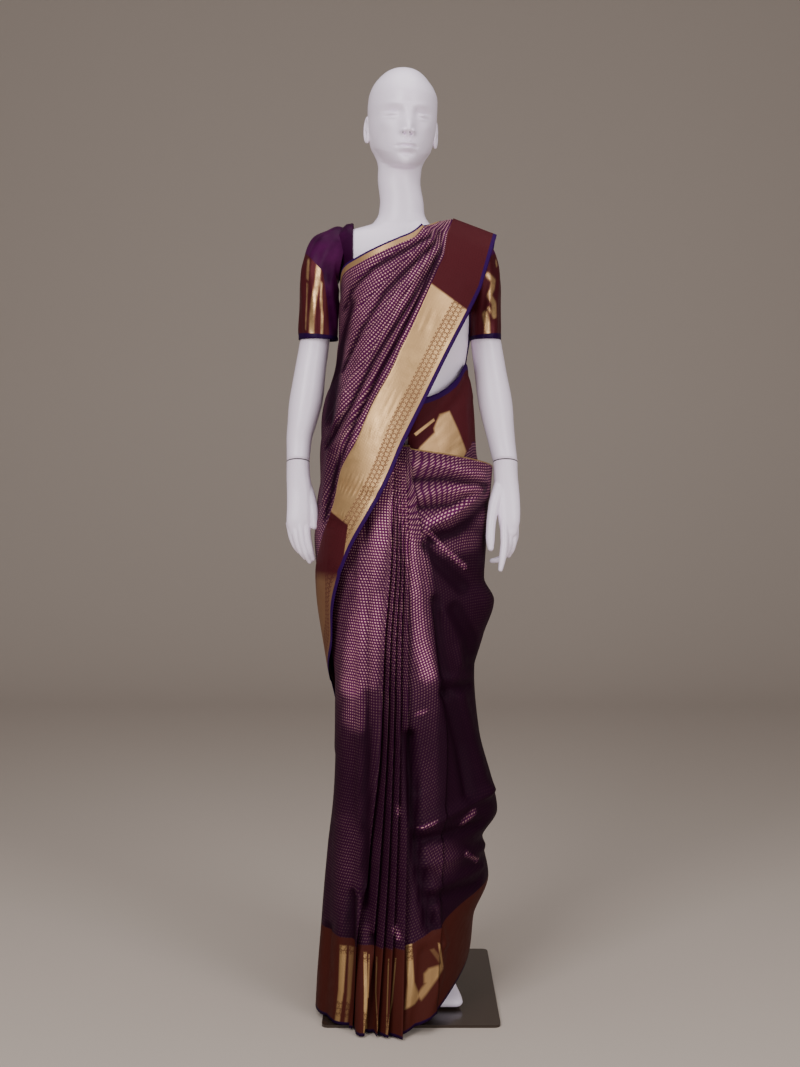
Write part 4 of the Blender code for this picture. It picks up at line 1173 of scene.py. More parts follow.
# Painted highlights where the skirt's weave glints, seen from the front: how wide, how bright, and where they
# run.
GLINTS = (
    Stroke(
        0.0255, 1.0, ((-0.007, 0.995), (-0.033, 0.904), (-0.058, 0.795), (-0.080, 0.667), (-0.087, 0.595)),
    ),
    Stroke(0.0255, 0.9, ((-0.051, 0.758), (-0.062, 0.613))),
    Stroke(0.0164, 0.9, ((0.000, 0.976), (0.015, 0.867), (0.029, 0.758), (0.040, 0.667), (0.051, 0.620))),
    Stroke(0.0291, 0.5, ((-0.073, 0.595), (-0.080, 0.540))),
    Stroke(0.0092, 0.8, ((0.026, 1.005), (0.073, 1.007), (0.154, 0.985))),
    Stroke(0.0110, 0.85, ((0.040, 0.951), (0.082, 0.958), (0.143, 0.962))),
    Stroke(0.0092, 1.0, ((0.051, 0.899), (0.092, 0.916), (0.150, 0.954))),
    Stroke(0.0040, 0.9, ((0.051, 0.883), (0.082, 0.850), (0.121, 0.815))),
    Stroke(0.0256, 0.35, ((0.073, 0.857), (0.128, 0.866))),
    Stroke(0.0024, 0.75, ((0.020, 0.553), (0.050, 0.551))),
    Stroke(0.0024, 0.8, ((0.036, 0.349), (0.067, 0.360))),
    Stroke(0.0300, 0.22, ((0.055, 0.311), (0.080, 0.290))),
    Stroke(0.0060, 0.45, ((0.116, 0.346), (0.135, 0.363))),
    Stroke(0.0029, 0.6, ((0.121, 0.292), (0.143, 0.272))),
    Stroke(0.0400, 0.16, ((-0.095, 0.340), (-0.095, 0.190))),
    Stroke(0.0150, 0.20, ((-0.061, 0.175), (-0.061, 0.160))),
    Stroke(0.0045, 0.8, ((-0.009, 0.179), (-0.002, 0.163))),
    Stroke(0.0036, 0.6, ((-0.004, 0.385), (0.000, 0.371))),
)


# How much the weave's painted glitter shows on the front of the skirt, at each height, and the fold edge past
# which the rest of it is painted in shade.
FRONT_LIT = ((0.0, 0.09), (0.50, 0.11), (0.58, 0.20), (0.66, 0.34), (0.80, 0.45), (0.95, 0.54), (1.05, 0.46))
FOLD_EDGE_HIGH = (0.550, 0.628, 0.883, 1.016)
FOLD_EDGE_OUT = (0.0675, 0.070, 0.048, 0.0102)


def form_curve(form):
    return smooth_curve([row.z for row in form], [row[1:] for row in form])


skirt_at, pallu_at = form_curve(SKIRT_FORM), form_curve(PALLU_FORM)


def on_form(sizes, angle, z, off):
    """The point at this angle from the front towards the wearer's left, so far off the form."""
    left, right, front, back = sizes
    wide = right if math.sin(angle) > 0 else left
    deep = front if math.cos(angle) > 0 else back
    x, y = (wide + off) * math.sin(angle), -(deep + off) * math.cos(angle)
    if x < 0 > y:
        x -= np.interp(z, CORNER_HIGH, CORNER_OUT) * math.sin(
            math.pi * np.clip((-angle - 0.49) / 1.08, 0.0, 1.0)
        ) ** 2
    return (x, y, z)


def angle_of(sizes, x):
    wide = sizes[1] if x > 0 else sizes[0]
    return math.asin(max(-1.0, min(1.0, x / wide)))


across = [k + step for k in range(LINES_ACROSS) for step in FINE_STEPS] + [float(LINES_ACROSS)]
up_shares = [k / LINES_ACROSS for k in across]


def heights(low, high):
    return [low + (high - low) * share for share in up_shares]


def inner_wrap():
    low_high = smooth_curve([w.angle for w in INNER_WRAP], [(w.low, w.high) for w in INNER_WRAP])
    for angle in np.linspace(INNER_WRAP[0].angle, INNER_WRAP[-1].angle, 30):
        places = heights(*low_high(angle))
        yield [
            on_form(
                skirt_at(z), math.radians(angle), z, -0.022 * np.clip((1.0 - z) / 0.1, 0.0, 1.0),
            ) for z in places
        ]


pleat_at = smooth_curve([row.z for row in PLEATS], [row[1:] for row in PLEATS])
depth_at = smooth_curve(*zip(*PLEAT_DEPTH))


def fold_at(index, places):
    x = places[index]
    before = places[index - 1] if index else x - FOLD_DEPTH / FOLD_SHARE
    after = places[index + 1] if index < LAST_PLEAT else x + FOLD_DEPTH / FOLD_SHARE
    return min(FOLD_DEPTH, FOLD_SHARE * (x - before), FOLD_SHARE * (after - x))


def front_panel():
    for share in np.linspace(0.0, 0.97, 22):
        station = []
        for z in heights(PANEL_LOW, PANEL_HIGH):
            sizes = skirt_at(z)
            end = angle_of(sizes, pleat_at(z)[0])
            angle = -QUARTER + share * (end + QUARTER)
            station.append(on_form(sizes, angle, z, (OUTER_OFF + PLEAT_RISE) * share))
        yield station


FACE_STEPS = (0.08, 0.2, 0.4, 0.6, 0.8, 0.92, 1.0)
WIDE_FACE_STEPS = (0.03, 0.08, 0.16, 0.26, 0.38, 0.5, 0.62, 0.74, 0.84, 0.92, 0.97, 1.0)
BACK_STEPS = (0.12, 0.5, 0.88, 1.0)


def front_pleats():
    """Knife pleats: each edge lies over the next one's hidden start."""
    for index in range(LAST_PLEAT + 1):
        rise_low = LAST_RISE if index == LAST_PLEAT else 0.0
        for share in WIDE_FACE_STEPS if index == LAST_PLEAT else FACE_STEPS:
            station = []
            for z in heights(PLEAT_LOW + rise_low * share**1.3, PLEAT_HIGH):
                sizes, places = skirt_at(z), pleat_at(z)
                start = places[index - 1] - fold_at(index - 1, places) if index else places[0] - 0.004
                angle = angle_of(sizes, start + (places[index] - start) * share)
                rise = PLEAT_RISE * (share if index else 1.0)
                deep = depth_at(z) * (1 - share) if 0 < index else 0.0
                station.append(on_form(sizes, angle, z, OUTER_OFF + rise - deep))
            yield station
        for share in BACK_STEPS:
            station = []
            for z in heights(PLEAT_LOW + rise_low, PLEAT_HIGH):
                sizes, places = skirt_at(z), pleat_at(z)
                angle = angle_of(sizes, places[index] - fold_at(index, places) * share)
                deep = depth_at(z) * share if index < LAST_PLEAT else 0.0
                station.append(on_form(sizes, angle, z, OUTER_OFF + PLEAT_RISE * (1 - share) - deep))
            yield station


OUTER_TURNS = np.concatenate([np.linspace(0.02, 1.0, 46), np.linspace(1.05, OUTER_WRAP[-1].turn, 20)])
swag_at = smooth_curve([row[0] for row in SWAG_OUTLINE], [row[1] for row in SWAG_OUTLINE])


def outer_wrap():
    rows = smooth_curve([o.turn for o in OUTER_WRAP], [o[1:] for o in OUTER_WRAP])
    for turn in OUTER_TURNS:
        low, high, swag = rows(turn)
        station = []
        for z in heights(low, high):
            sizes = skirt_at(z)
            angle = QUARTER * turn
            if turn < 1:
                start = angle_of(sizes, pleat_at(z)[LAST_PLEAT])
                angle = start + turn * (QUARTER - start)
            stand = max(0.0, swag_at(z) - sizes[1] - OUTER_OFF)
            station.append(on_form(sizes, angle, z, OUTER_OFF + swag * stand))
        yield station


def mix(a, b, share):
    return np.array(a) + (np.array(b) - np.array(a)) * share


def across_pleats(low, border, high, border_width, fan_width):
    """From the lower edge over the wide border and the narrow pleats: places and offsets, on the fine lines."""
    top = PALLU_OFF + PLEAT_RISE
    rows = [(*mix(low, border, share), top) for share in BORDER_SHARES]
    rows.append((*mix(border, low, FOLD_DEPTH / border_width), PALLU_OFF))
    edges = (0.0, *FAN_SHARES, 1.0)
    for before, share, after in zip(edges, edges[1:], edges[2:]):
        fold = min(FOLD_DEPTH / fan_width, FOLD_SHARE * (after - share), FOLD_SHARE * (share - before))
        rows.append((*mix(border, high, share), top))
        rows.append((*mix(border, high, share - fold), PALLU_OFF))
    rows.append((*high, PALLU_OFF + PLEAT_RISE * 0.6))
    rows = np.array(rows)
    return np.stack([np.interp(across, range(LINES_ACROSS + 1), rows[:, k]) for k in range(rows.shape[1])], 1)


def soften(station, passes=2):
    """Rounds the folds of a station a little."""
    line = np.array(station)
    for _ in range(passes):
        line[1:-1] = (line[:-2] + 2 * line[1:-1] + line[2:]) / 4
    return line


def pallu():
    """The shoulder piece: round from the back, then up across the chest."""
    low, border, high = SIDE_HEIGHTS
    side = across_pleats((-QUARTER, low), (-QUARTER, border), (-QUARTER, high), border - low, high - border)
    start = OUTER_WRAP[-1]
    start_angle = QUARTER * start.turn - 2 * math.pi
    for share in np.linspace(0.0, 1.0, 22)[1:]:
        ease = share * share * (3 - 2 * share)
        station = []
        for z, (angle, side_z, off) in zip(heights(start.low, start.high), side):
            angle = start_angle + (angle - start_angle) * share
            z = z + (side_z - z) * ease
            inner = np.array(on_form(skirt_at(z), angle, z, OUTER_OFF))
            outer = np.array(on_form(pallu_at(z), angle, z, off))
            station.append(inner + (outer - inner) * min(1.0, share * 1.4))
        yield soften(station)
    rows = [(-QUARTER, low, -QUARTER, border, -QUARTER, high)]
    for row in PALLU_FRONT:
        rows.append((
            angle_of(pallu_at(row.low_z), row.low_x), row.low_z,
            angle_of(pallu_at(row.border_z), row.border_x), row.border_z,
            angle_of(pallu_at(row.high_z), row.high_x), row.high_z,
        ))
    lines = smooth_curve([0.0, *(row.share for row in PALLU_FRONT)], rows)
    for share in np.linspace(0.0, 1.0, 56)[1:]:
        now = lines(share)
        ends = [on_form(pallu_at(now[k + 1]), now[k], now[k + 1], 0.0) for k in (0, 2, 4)]
        places = across_pleats(
            now[0:2], now[2:4], now[4:6], math.dist(ends[0], ends[1]), math.dist(ends[1], ends[2])
        )
        yield soften([on_form(pallu_at(z), angle, z, off) for angle, z, off in places])


def over_shoulder():
    """Over the shoulder and down the back, the pleats still folded."""
    rows = smooth_curve(range(len(SHOULDER)), SHOULDER)
    for step in np.linspace(0.0, len(SHOULDER) - 1, 40):
        now = rows(step)
        along = rows(min(step + 0.1, len(SHOULDER) - 1)) - rows(max(step - 0.1, 0.0))
        out = np.cross((1.0, 0.0, 0.0), along[3:6])
        out = out / np.linalg.norm(out)
        low, border, high = now[0:3], now[3:6], now[6:9]
        places = across_pleats(low, border, high, math.dist(low, border), math.dist(border, high))
        yield soften([place[:3] + out * (place[3] - PALLU_OFF) for place in places])


def fold(rows, strokes):
    """Moves the cloth out from the body's axis by what the strokes say."""
    points = rows.reshape(-1, 3)
    out = points * (1.0, 1.0, 0.0)
    out /= np.linalg.norm(out, axis=1)[:, None]
    points += out * stroke_values(points, strokes, np.add)[:, None]
    return points.reshape(rows.shape)


def thread_counts(cloth):
    """For each point, metres along the cloth and metres up from its lower edge, both measured on it."""
    along, up = np.zeros(cloth.shape[:2]), np.zeros(cloth.shape[:2])
    along[1:] = np.cumsum(np.linalg.norm(np.diff(cloth, axis=0), axis=2), axis=0)
    up[:, 1:] = np.cumsum(np.linalg.norm(np.diff(cloth, axis=1), axis=2), axis=1)
    return along, up


def pleat_counts(cloth, edge, base):
    """The same for one pleat, measured square to its edge, so that its weave runs with the pleat."""
    line = cloth[:, edge]
    run = np.concatenate([[0.0], np.cumsum(np.linalg.norm(np.diff(line, axis=0), axis=1))])
    ahead = line[
        np.minimum(np.arange(len(line)) + 3, len(line) - 1)
    ] - line[np.maximum(np.arange(len(line)) - 3, 0)]
    ahead /= np.linalg.norm(ahead, axis=1)[:, None]
    off = cloth - line[:, None]
    with_edge = np.einsum("rkc,rc->rk", off, ahead)
    square = np.linalg.norm(off - with_edge[:, :, None] * ahead[:, None], axis=2)
    side = np.where(np.arange(cloth.shape[1]) < edge, -1.0, 1.0)
    return run[:, None] + with_edge, base + side * square


def ramp(values, low, high):
    return np.clip((values - low) / (high - low), 0.0, 1.0)


waist, *skirt = (np.array(list(make())) for make in (inner_wrap, front_panel, front_pleats, outer_wrap))
upper = np.concatenate([np.array(list(make())) for make in (pallu, over_shoulder)])
inner_count = len(waist)
skirt = np.concatenate(skirt)
upper_row = inner_count + len(skirt)
along_cloth, up_cloth = thread_counts(np.concatenate([waist, skirt, upper]))
pleat_ends = [lines * len(FINE_STEPS) for lines in (0, *range(5, LINES_ACROSS, 2), LINES_ACROSS)]
pleat_edges = [lines * len(FINE_STEPS) for lines in (0, *range(6, LINES_ACROSS, 2), LINES_ACROSS)]
strips = [pleat_counts(upper, edge, 0.12 * k + (0.2 if k else 0.0)) for k, edge in enumerate(pleat_edges)]
strips[0][1][21:] = np.minimum(strips[0][1][21:], BORDER_DEEP - 0.002)
cloth = np.concatenate([fold(waist, WAIST_FOLDS), fold(skirt, SKIRT_FOLDS), fold(upper, PALLU_FOLDS)])

rows_count, lines_count = cloth.shape[:2]
sari_mesh = bpy.data.meshes.new("sari_cloth")
sari_faces = [
    (r * lines_count + k, (r + 1) * lines_count + k, (r + 1) * lines_count + k + 1, r * lines_count + k + 1)
    for r in range(rows_count - 1)
    for k in range(lines_count - 1)
]
sari_mesh.from_pydata([tuple(p) for p in cloth.reshape(-1, 3)], [], sari_faces)
sari_mesh.shade_smooth()
threads = sari_mesh.uv_layers.new(name="threads")
flat_along, flat_up = along_cloth.reshape(-1), up_cloth.reshape(-1)
for face in sari_mesh.polygons:
    row, line = divmod(face.index, lines_count - 1)
    pleat = np.searchsorted(pleat_ends, line, side="right") - 1
    for loop in face.loop_indices:
        point = sari_mesh.loops[loop].vertex_index
        if row < upper_row:
            threads.data[loop].uv = (flat_along[point], flat_up[point])
        else:
            r, k = divmod(point - upper_row * lines_count, lines_count)
            threads.data[loop].uv = (strips[pleat][0][r, k], strips[pleat][1][r, k])
points = cloth.reshape(-1, 3)
of_row = np.repeat(np.arange(rows_count), lines_count)
on_shoulder, at_waist = of_row >= upper_row, of_row < inner_count * 0.6
behind = np.clip(points[:, 1] / 0.04, 0.0, 1.0)
# Behind, the border's painted gold highlight and the weave's painted glitter run in streaks along the cloth.
back_highlight_streaks = 0.5 + 0.5 * np.sin(flat_along * 47.0 + 2.0 * np.sin(flat_along * 13.0 + flat_up * 3.0))
x, z = points[:, 0], points[:, 2]
# Painted shade on the weave: darker in the pallu's troughs and at its side on the wearer's right from the hip
# up, and on the skirt past the fold edge and in its deeper hollows; painted highlight along the glints.
trough_shade = stroke_values(points, [s._replace(amount=1.0) for s in PALLU_FOLDS if s.amount < 0], np.maximum)
hollow_shade = stroke_values(
    points, [s._replace(amount=1.0) for s in SKIRT_FOLDS if s.amount < -0.004], np.maximum
)
shaded_side = ramp(-x, 0.098, 0.128) * ramp(z, 0.86, 1.02)
bodice_lit = 0.66 - 0.62 * trough_shade - 0.45 * shaded_side
past_fold_shade = ramp(x - np.interp(z, FOLD_EDGE_HIGH, FOLD_EDGE_OUT), -0.002, 0.006) * (1 - ramp(z, 0.87, 0.91))
front_lit = np.interp(z, *zip(*FRONT_LIT)) * (1 - 0.85 * past_fold_shade)
front_lit = np.maximum(front_lit, stroke_values(points, GLINTS, np.maximum, 3)) - 0.45 * hollow_shade
lit = np.clip(np.where(on_shoulder, bodice_lit, front_lit), 0.0, 1.0)
# Layers for the material: the top edge and its gold strip, the inner end, the shoulder piece, and the painted
# light, which is the border's painted gold highlight and the weave's painted glint.
for name, values in (
    ("from_top", (up_cloth[:, -1:] - up_cloth).reshape(-1)),
    ("top_edge", np.where(on_shoulder, 0.004, np.where(at_waist, 0.011, 0.0))),
    ("top_gold", np.where(on_shoulder, 0.014, 0.0025)),
    ("inner_end", at_waist),
    ("on_shoulder", on_shoulder),
    ("gold_highlight", behind * 0.9 * back_highlight_streaks**3),
    ("glint", lit * (1 - behind) + behind * (0.25 + 0.45 * back_highlight_streaks)),
):
    layer = sari_mesh.attributes.new(name, "FLOAT", "POINT")
    layer.data.foreach_set("value", values.astype(np.float32))
sari_cloth = bpy.data.objects.new("sari_cloth", sari_mesh)
bpy.context.scene.collection.objects.link(sari_cloth)

# The weave's colours, painted for the shade and for where the thread catches the light, the darker copies of
# the border and its edge painted as shade on the skirt's hem, and the bands of its borders, in metres from the
# edge.
SILK_SHADE = (0.0120, 0.0014, 0.0080, 1.0)
SILK_LIT = (0.105, 0.010, 0.076, 1.0)
DASH_SHADE = (0.018, 0.0035, 0.011, 1.0)
DASH_LIT = (0.840, 0.450, 0.440, 1.0)
EDGE_VIOLET = (0.026, 0.003, 0.064, 1.0)
SHADED_HEM_EDGE = (0.013, 0.002, 0.024, 1.0)
SHADED_HEM_GOLD = (0.400, 0.245, 0.105, 1.0)
SHADED_HEM_MAROON = (0.052, 0.0105, 0.0075, 1.0)
EDGE_DEEP, LINE_DEEP = 0.0075, 0.011
LOWER_MOTIF_TOP, UPPER_MOTIF_LOW = 0.040, 0.120
DASH_PITCH = 0.0052
FLOWER_PITCH, FLOWER_RISE = 0.0090, 0.0090
# Patches of the border painted gold as highlights where it would shine: on which turn of the cloth, how soft
# their edges are, how strong they shine, and their outline seen from the front, in metres.
Patch = namedtuple("Patch", "turn soft amount outline")
SHINING = (
    Patch(
        "shoulder",
        0.0040,
        1.0,
        (
            (0.0417, 1.3461),
            (0.1812, 1.2482),
            (0.1812, 1.0852),
            (-0.0870, 0.8859),
            (-0.1250, 0.9167),
            (-0.1812, 0.9583),
        ),
    ),
    Patch(
        "shoulder", 0.0020, 1.0, ((-0.0888, 0.9402), (0.0362, 1.0489), (0.0362, 0.8315), (-0.1069, 0.8043)),
    ),
    Patch(
        "shoulder",
        0.0200,
        0.26,
        ((-0.1648, 0.7968), (-0.0915, 0.7968), (-0.0915, 0.5917), (-0.1648, 0.5917)),
    ),
    Patch(
        "waist",
        0.0040,
        0.85,
        (
            (0.0627, 1.0719),
            (0.0737, 1.0977),
            (0.0922, 1.1042),
            (0.1088, 1.0682),
            (0.1235, 1.0295),
            (0.1180, 1.0111),
            (0.0737, 1.0129),
        ),
    ),
    Patch("waist", 0.0040, 0.8, ((0.0258, 1.0184), (0.0369, 1.0369), (0.0682, 1.0682), (0.0774, 1.0129))),
    Patch("waist", 0.0015, 0.9, ((0.0258, 1.0618), (0.0627, 1.0903), (0.0645, 1.0857), (0.0295, 1.0572))),
    Patch(
        "skirt", 0.0030, 0.82, ((-0.1079, 0.1407), (-0.0956, 0.1407), (-0.1008, 0.0625), (-0.1099, 0.0625)),
    ),
    Patch(
        "skirt", 0.0030, 0.82, ((-0.1099, 0.0657), (-0.1008, 0.0657), (-0.1090, 0.0014), (-0.1172, 0.0014)),
    ),
    Patch(
        "skirt", 0.0030, 0.36, ((-0.0913, 0.1405), (-0.0820, 0.1405), (-0.0883, 0.0538), (-0.0945, 0.0538)),
    ),
    Patch(
        "skirt", 0.0030, 0.36, ((-0.0945, 0.0567), (-0.0883, 0.0567), (-0.0945, 0.0032), (-0.0995, 0.0032)),
    ),
    Patch(
        "skirt", 0.0016, 0.86, ((-0.0650, 0.1371), (-0.0588, 0.1371), (-0.0569, 0.0720), (-0.0634, 0.0720)),
    ),
    Patch(
        "skirt", 0.0016, 0.86, ((-0.0634, 0.0755), (-0.0569, 0.0755), (-0.0588, -0.0055), (-0.0639, -0.0055)),
    ),
    Patch(
        "skirt", 0.0006, 0.52, ((-0.0560, 0.1340), (-0.0537, 0.1340), (-0.0551, 0.0651), (-0.0573, 0.0651)),
    ),
    Patch(
        "skirt", 0.0006, 0.60, ((-0.0424, 0.1305), (-0.0401, 0.1305), (-0.0419, 0.0722), (-0.0438, 0.0722)),
    ),
    Patch(
        "skirt", 0.0006, 0.60, ((-0.0438, 0.0739), (-0.0419, 0.0739), (-0.0375, 0.0121), (-0.0399, 0.0121)),
    ),
    Patch(
        "skirt", 0.0006, 0.52, ((-0.0212, 0.1305), (-0.0191, 0.1305), (-0.0230, 0.0050), (-0.0251, 0.0050)),
    ),
    Patch(
        "skirt", 0.0006, 0.65, ((-0.0088, 0.1305), (-0.0064, 0.1305), (-0.0131, 0.0580), (-0.0156, 0.0580)),
    ),
    Patch(
        "skirt", 0.0006, 0.60, ((-0.0156, 0.0598), (-0.0131, 0.0598), (-0.0233, 0.0015), (-0.0258, 0.0015)),
    ),
    Patch("skirt", 0.0030, 0.82, ((0.0110, 0.1570), (0.0210, 0.1570), (0.0258, 0.0845), (0.0133, 0.0845))),
    Patch(
        "skirt",
        0.0045,
        0.82,
        ((0.0133, 0.0881), (0.0258, 0.0881), (0.0343, 0.0644), (0.0262, 0.0541), (0.0088, 0.0481)),
    ),
    Patch(
        "skirt",
        0.0050,
        0.69,
        (
            (0.0426, 0.1007),
            (0.0507, 0.1098),
            (0.0752, 0.1139),
            (0.0766, 0.1038),
            (0.0589, 0.0830),
            (0.0426, 0.0866),
        ),
    ),
    Patch("skirt", 0.0050, 0.69, ((0.0497, 0.0919), (0.0621, 0.0866), (0.0372, 0.0582), (0.0302, 0.0670))),
    Patch("skirt", 0.0020, 0.69, ((0.0676, 0.1509), (0.0712, 0.1509), (0.0776, 0.1064), (0.0744, 0.1064))),
    Patch("skirt", 0.0030, 0.21, ((0.0534, 0.1402), (0.0605, 0.1420), (0.0765, 0.1224), (0.0712, 0.1153))),
)


def spot_group(name):
    """Soft oblong spots on a grid, for dashes and motifs."""
    group = bpy.data.node_groups.new(name, "ShaderNodeTree")
    for label in ("Along", "Up", "Pitch along", "Pitch up", "Wide", "High"):
        group.interface.new_socket(label, in_out="INPUT", socket_type="NodeSocketFloat")
    group.interface.new_socket("Mask", in_out="OUTPUT", socket_type="NodeSocketFloat")
    nodes, links = group.nodes, group.links
    given, result = nodes.new("NodeGroupInput"), nodes.new("NodeGroupOutput")
    squares = []
    for place, pitch, size in (("Along", "Pitch along", "Wide"), ("Up", "Pitch up", "High")):
        cells = math_node(nodes, links, "DIVIDE", given.outputs[place], given.outputs[pitch])
        local = math_node(nodes, links, "FRACT", cells)
        off_centre = math_node(nodes, links, "SUBTRACT", local, 0.5)
        scaled = math_node(nodes, links, "DIVIDE", off_centre, given.outputs[size])
        squares.append(math_node(nodes, links, "MULTIPLY", scaled, scaled))
    distance = math_node(nodes, links, "ADD", *squares)
    links.new(spread(nodes, links, distance, 0.6, 1.4, 1.0, 0.0), result.inputs["Mask"])
    return group


SPOTS = spot_group("spots on a grid")


def spots(nodes, links, along, up, pitch_along, pitch_up, wide, high):
    node = nodes.new("ShaderNodeGroup")
    node.node_tree = SPOTS
    links.new(along, node.inputs["Along"])
    links.new(up, node.inputs["Up"])
    for label, value in (
        ("Pitch along", pitch_along), ("Pitch up", pitch_up), ("Wide", wide), ("High", high),
    ):
        node.inputs[label].default_value = value
    return node.outputs["Mask"]


def flower_group(name):
    """Rows of small five-petalled flowers, each row half a pitch along from the last."""
    group = bpy.data.node_groups.new(name, "ShaderNodeTree")
    for label in ("Along", "Up", "Pitch", "Rise", "Radius"):
        group.interface.new_socket(label, in_out="INPUT", socket_type="NodeSocketFloat")
    group.interface.new_socket("Mask", in_out="OUTPUT", socket_type="NodeSocketFloat")
    nodes, links = group.nodes, group.links

    def do(operation, first, second=None):
        return math_node(nodes, links, operation, first, second)

    given, result = nodes.new("NodeGroupInput"), nodes.new("NodeGroupOutput")
    rows = do("DIVIDE", given.outputs["Up"], given.outputs["Rise"])
    shifted = do(
        "ADD",
        do("DIVIDE", given.outputs["Along"], given.outputs["Pitch"]),
        do("MULTIPLY", do("FLOOR", rows), 0.5),
    )
    x = do("MULTIPLY", do("SUBTRACT", do("FRACT", shifted), 0.5), given.outputs["Pitch"])
    y = do("MULTIPLY", do("SUBTRACT", do("FRACT", rows), 0.5), given.outputs["Rise"])
    reach = do("SQRT", do("ADD", do("MULTIPLY", x, x), do("MULTIPLY", y, y)))
    petals = do("COSINE", do("MULTIPLY", do("ARCTAN2", y, x), 5.0))
    outline = do("MULTIPLY", given.outputs["Radius"], do("ADD", 0.72, do("MULTIPLY", petals, 0.28)))
    share = do("DIVIDE", reach, outline)
    petal = spread(nodes, links, share, 0.9, 1.1, 1.0, 0.0)
    eye = spread(nodes, links, share, 0.22, 0.34, 0.0, 1.0)
    links.new(do("MULTIPLY", petal, eye), result.inputs["Mask"])
    return group


FLOWERS = flower_group("rows of flowers")


def flowers(nodes, links, along, up, pitch, rise, radius):
    node = nodes.new("ShaderNodeGroup")
    node.node_tree = FLOWERS
    links.new(along, node.inputs["Along"])
    links.new(up, node.inputs["Up"])
    for label, value in (("Pitch", pitch), ("Rise", rise), ("Radius", radius)):
        node.inputs[label].default_value = value
    return node.outputs["Mask"]


def patch_mask(nodes, links, out, high, patch):
    """How far inside a patch's outline a place is, from 0 to the patch's strength."""
    corners = [Vector(corner) for corner in patch.outline]
    middle = sum(corners, Vector((0.0, 0.0))) / len(corners)
    depth = None
    for a, b in zip(corners, corners[1:] + corners[:1]):
        side = Vector((a.y - b.y, b.x - a.x)).normalized()
        if side.dot(middle - a) < 0:
            side = -side
        across = math_node(nodes, links, "MULTIPLY", out, side.x)
        along = math_node(nodes, links, "MULTIPLY_ADD", high, side.y)
        along.node.inputs[2].default_value = -side.dot(a)
        inward = math_node(nodes, links, "ADD", across, along)
        depth = inward if depth is None else math_node(nodes, links, "MINIMUM", depth, inward)
    return spread(nodes, links, depth, -patch.soft / 2, patch.soft / 2, 0.0, patch.amount)


